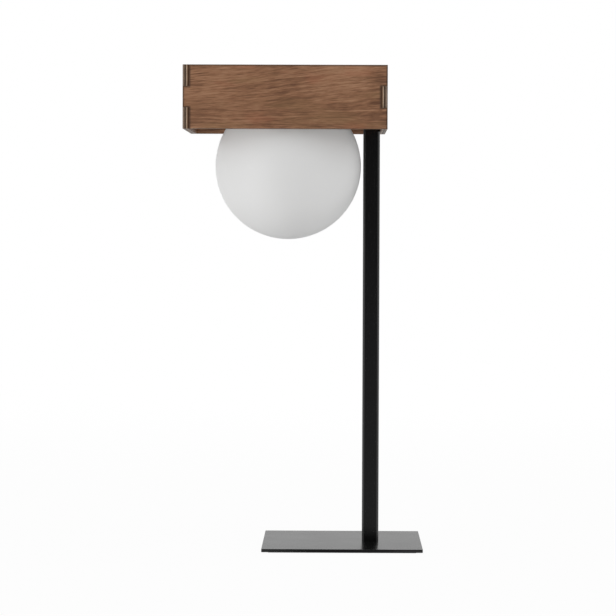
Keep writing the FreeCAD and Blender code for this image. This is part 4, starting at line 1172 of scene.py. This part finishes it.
LEAD_RADIUS, LEAD_SIDES = 0.8, 16
LEAD_BEND = 0.45            # share of the shorter run that a bend takes up
CERAMIC_TOP, LEAD_SINK = 448.0, 2.5     # and how deep a lead goes into the ceramic
SLOT_Z, SLEEVE_Z = 451.05, 443.3    # heights of a lead in the slots and in the sleeves
POLE_Y = 10.0               # of the outer poles from the middle one
BLOCK_FACE = BLOCK_X - 9.0      # where the leads go in
LEAD_STUB = 4.0             # straight at the block's face, in and out of it
DIP_X, DIP_RUN = GLOBE_X + 28.0, 6.0    # where a lead is down at the sleeves, and over what run
DIP_SHARE = 0.4             # how much of the way to its pole it has gone there
LUG_Y, LUG_Z = -9.6, 448.15
BARREL = (2.5, -3.0)        # ends of the straight stretch in the lug's barrel, along Y
EARTH_BEND = (1.0, -4.0)    # where the earth lead turns to the lug, from its screw and along Y
EARTH_RISE = 0.25           # share of the height that it has gained there
BROWN, BLUE = (0.15, 0.055, 0.025), (0.02, 0.10, 0.42)
YELLOW, GREEN = (0.75, 0.60, 0.02), (0.03, 0.28, 0.04)


def swept(path):
    """Round section of a lead carried along a path, closed by a disc at each end. Its axes
    are the cross products of the path's direction with one slanting reference."""
    ahead = np.gradient(path, axis=0)
    side = np.cross(ahead, (0.31, 0.22, 0.92))
    over = np.cross(side, ahead)
    side, over = (LEAD_RADIUS * way / np.linalg.norm(way, axis=1)[:, None] for way in (side, over))
    angle = np.arange(LEAD_SIDES)[:, None] * 2 * math.pi / LEAD_SIDES
    ring = path[:, None] + np.cos(angle) * side[:, None] + np.sin(angle) * over[:, None]
    faces = grid_faces(len(path), LEAD_SIDES)
    last = (len(path) - 1) * LEAD_SIDES
    faces += [list(range(LEAD_SIDES)), list(range(last, last + LEAD_SIDES))]
    return ring.reshape(-1, 3), faces, [1] * len(faces)


def lead_path(corners):
    """Straight runs joined by the widest arcs that the runs allow."""
    corners = np.asarray(corners, float)
    runs = np.linalg.norm(np.diff(corners, axis=0), axis=1)
    return soften(corners, LEAD_BEND * np.minimum(runs[:-1], runs[1:]), 10)


def sleeve_colour(name, colour):
    """Soft insulation with faint scuffs along the wire."""
    scuff = (1.6, 3.0, 6.0)
    return even_finish(name, shades(colour, 0.8, 1.0), 0.42, (*scuff, 0.2), (*scuff, 0.0), 0.01)


def make_leads():
    start = GLOBE_X + LEAD_X
    for side, node, name, colour, slot in (
        (1, "live_lead", "brown_wire", BROWN, "brown_lead"),
        (-1, "neutral_lead", "blue_wire", BLUE, "blue_lead"),
    ):
        near, pole = side * LEAD_Y, side * POLE_Y
        path = lead_path([
            (start, near, CERAMIC_TOP - LEAD_SINK), (start, near, SLOT_Z),
            (DIP_X - DIP_RUN, near, SLOT_Z),
            (DIP_X, near + DIP_SHARE * (pole - near), SLEEVE_Z),
            (BLOCK_FACE - LEAD_STUB, pole, SLEEVE_Z), (BLOCK_FACE + LEAD_STUB, pole, SLEEVE_Z),
        ])
        finish = sleeve_colour(name + "_skin", colour)
        piece(name, [swept(path)], [finish], "frame", [node])


def make_earth_lead():
    """Green with two yellow stripes, each three sides of the wire wide."""
    x, rise = EARTH_SCREW[0], EARTH_RISE * (LUG_Z - SLEEVE_Z)
    path = lead_path([
        (BLOCK_FACE + LEAD_STUB, 0, SLEEVE_Z), (BLOCK_FACE - LEAD_STUB, 0, SLEEVE_Z),
        (x + EARTH_BEND[0], EARTH_BEND[1], SLEEVE_Z + rise),
        *[(x, LUG_Y + step, LUG_Z) for step in BARREL],
    ])
    points, faces, _ = swept(path)
    stripes = np.where(np.arange(len(faces)) % (LEAD_SIDES // 2) < 3, 1, 2)
    yellow, green = sleeve_colour("earth_yellow", YELLOW), sleeve_colour("earth_green", GREEN)
    shells, finishes = [(points, faces, stripes)], [green, yellow, green]
    piece("earth_wire", shells, finishes, "frame", ["earth_lead"])


def make_terminals():
    haze, grain = (5.0, 2.0, 3.0, 0.0), (0.5, 2.0, 8.0, 0.15)
    whites = [(0.78, 0.78, 0.74), (0.86, 0.86, 0.83)]
    nylon = even_finish("nylon", whites, 0.40, haze, grain, 0.015)
    tin = metal("lug_tin", (0.74, 0.73, 0.70), 0.30, (1.0, 1.0, 1.0), 9.0)
    smooth_copy("terminal_nylon_block", nylon, "frame", "terminal_block", 0.18)
    smooth_copy("sleeves_brass", brass, "frame", "terminal_sleeves")
    smooth_copy("clamp_screws", screw_zinc, "frame", "terminal_screws", 0.08)
    smooth_copy("crimp_lug", tin, "frame", "earth_lug", 0.1)
    screw_set("block_screw_pair", "block_screws", BLOCK_SCREWS, M3, M3_HEAD)
    screw_set("earth_screw_pan", "earth_screw", [EARTH_SCREW], M4, M4_HEAD)


make_leads()
make_earth_lead()
make_terminals()
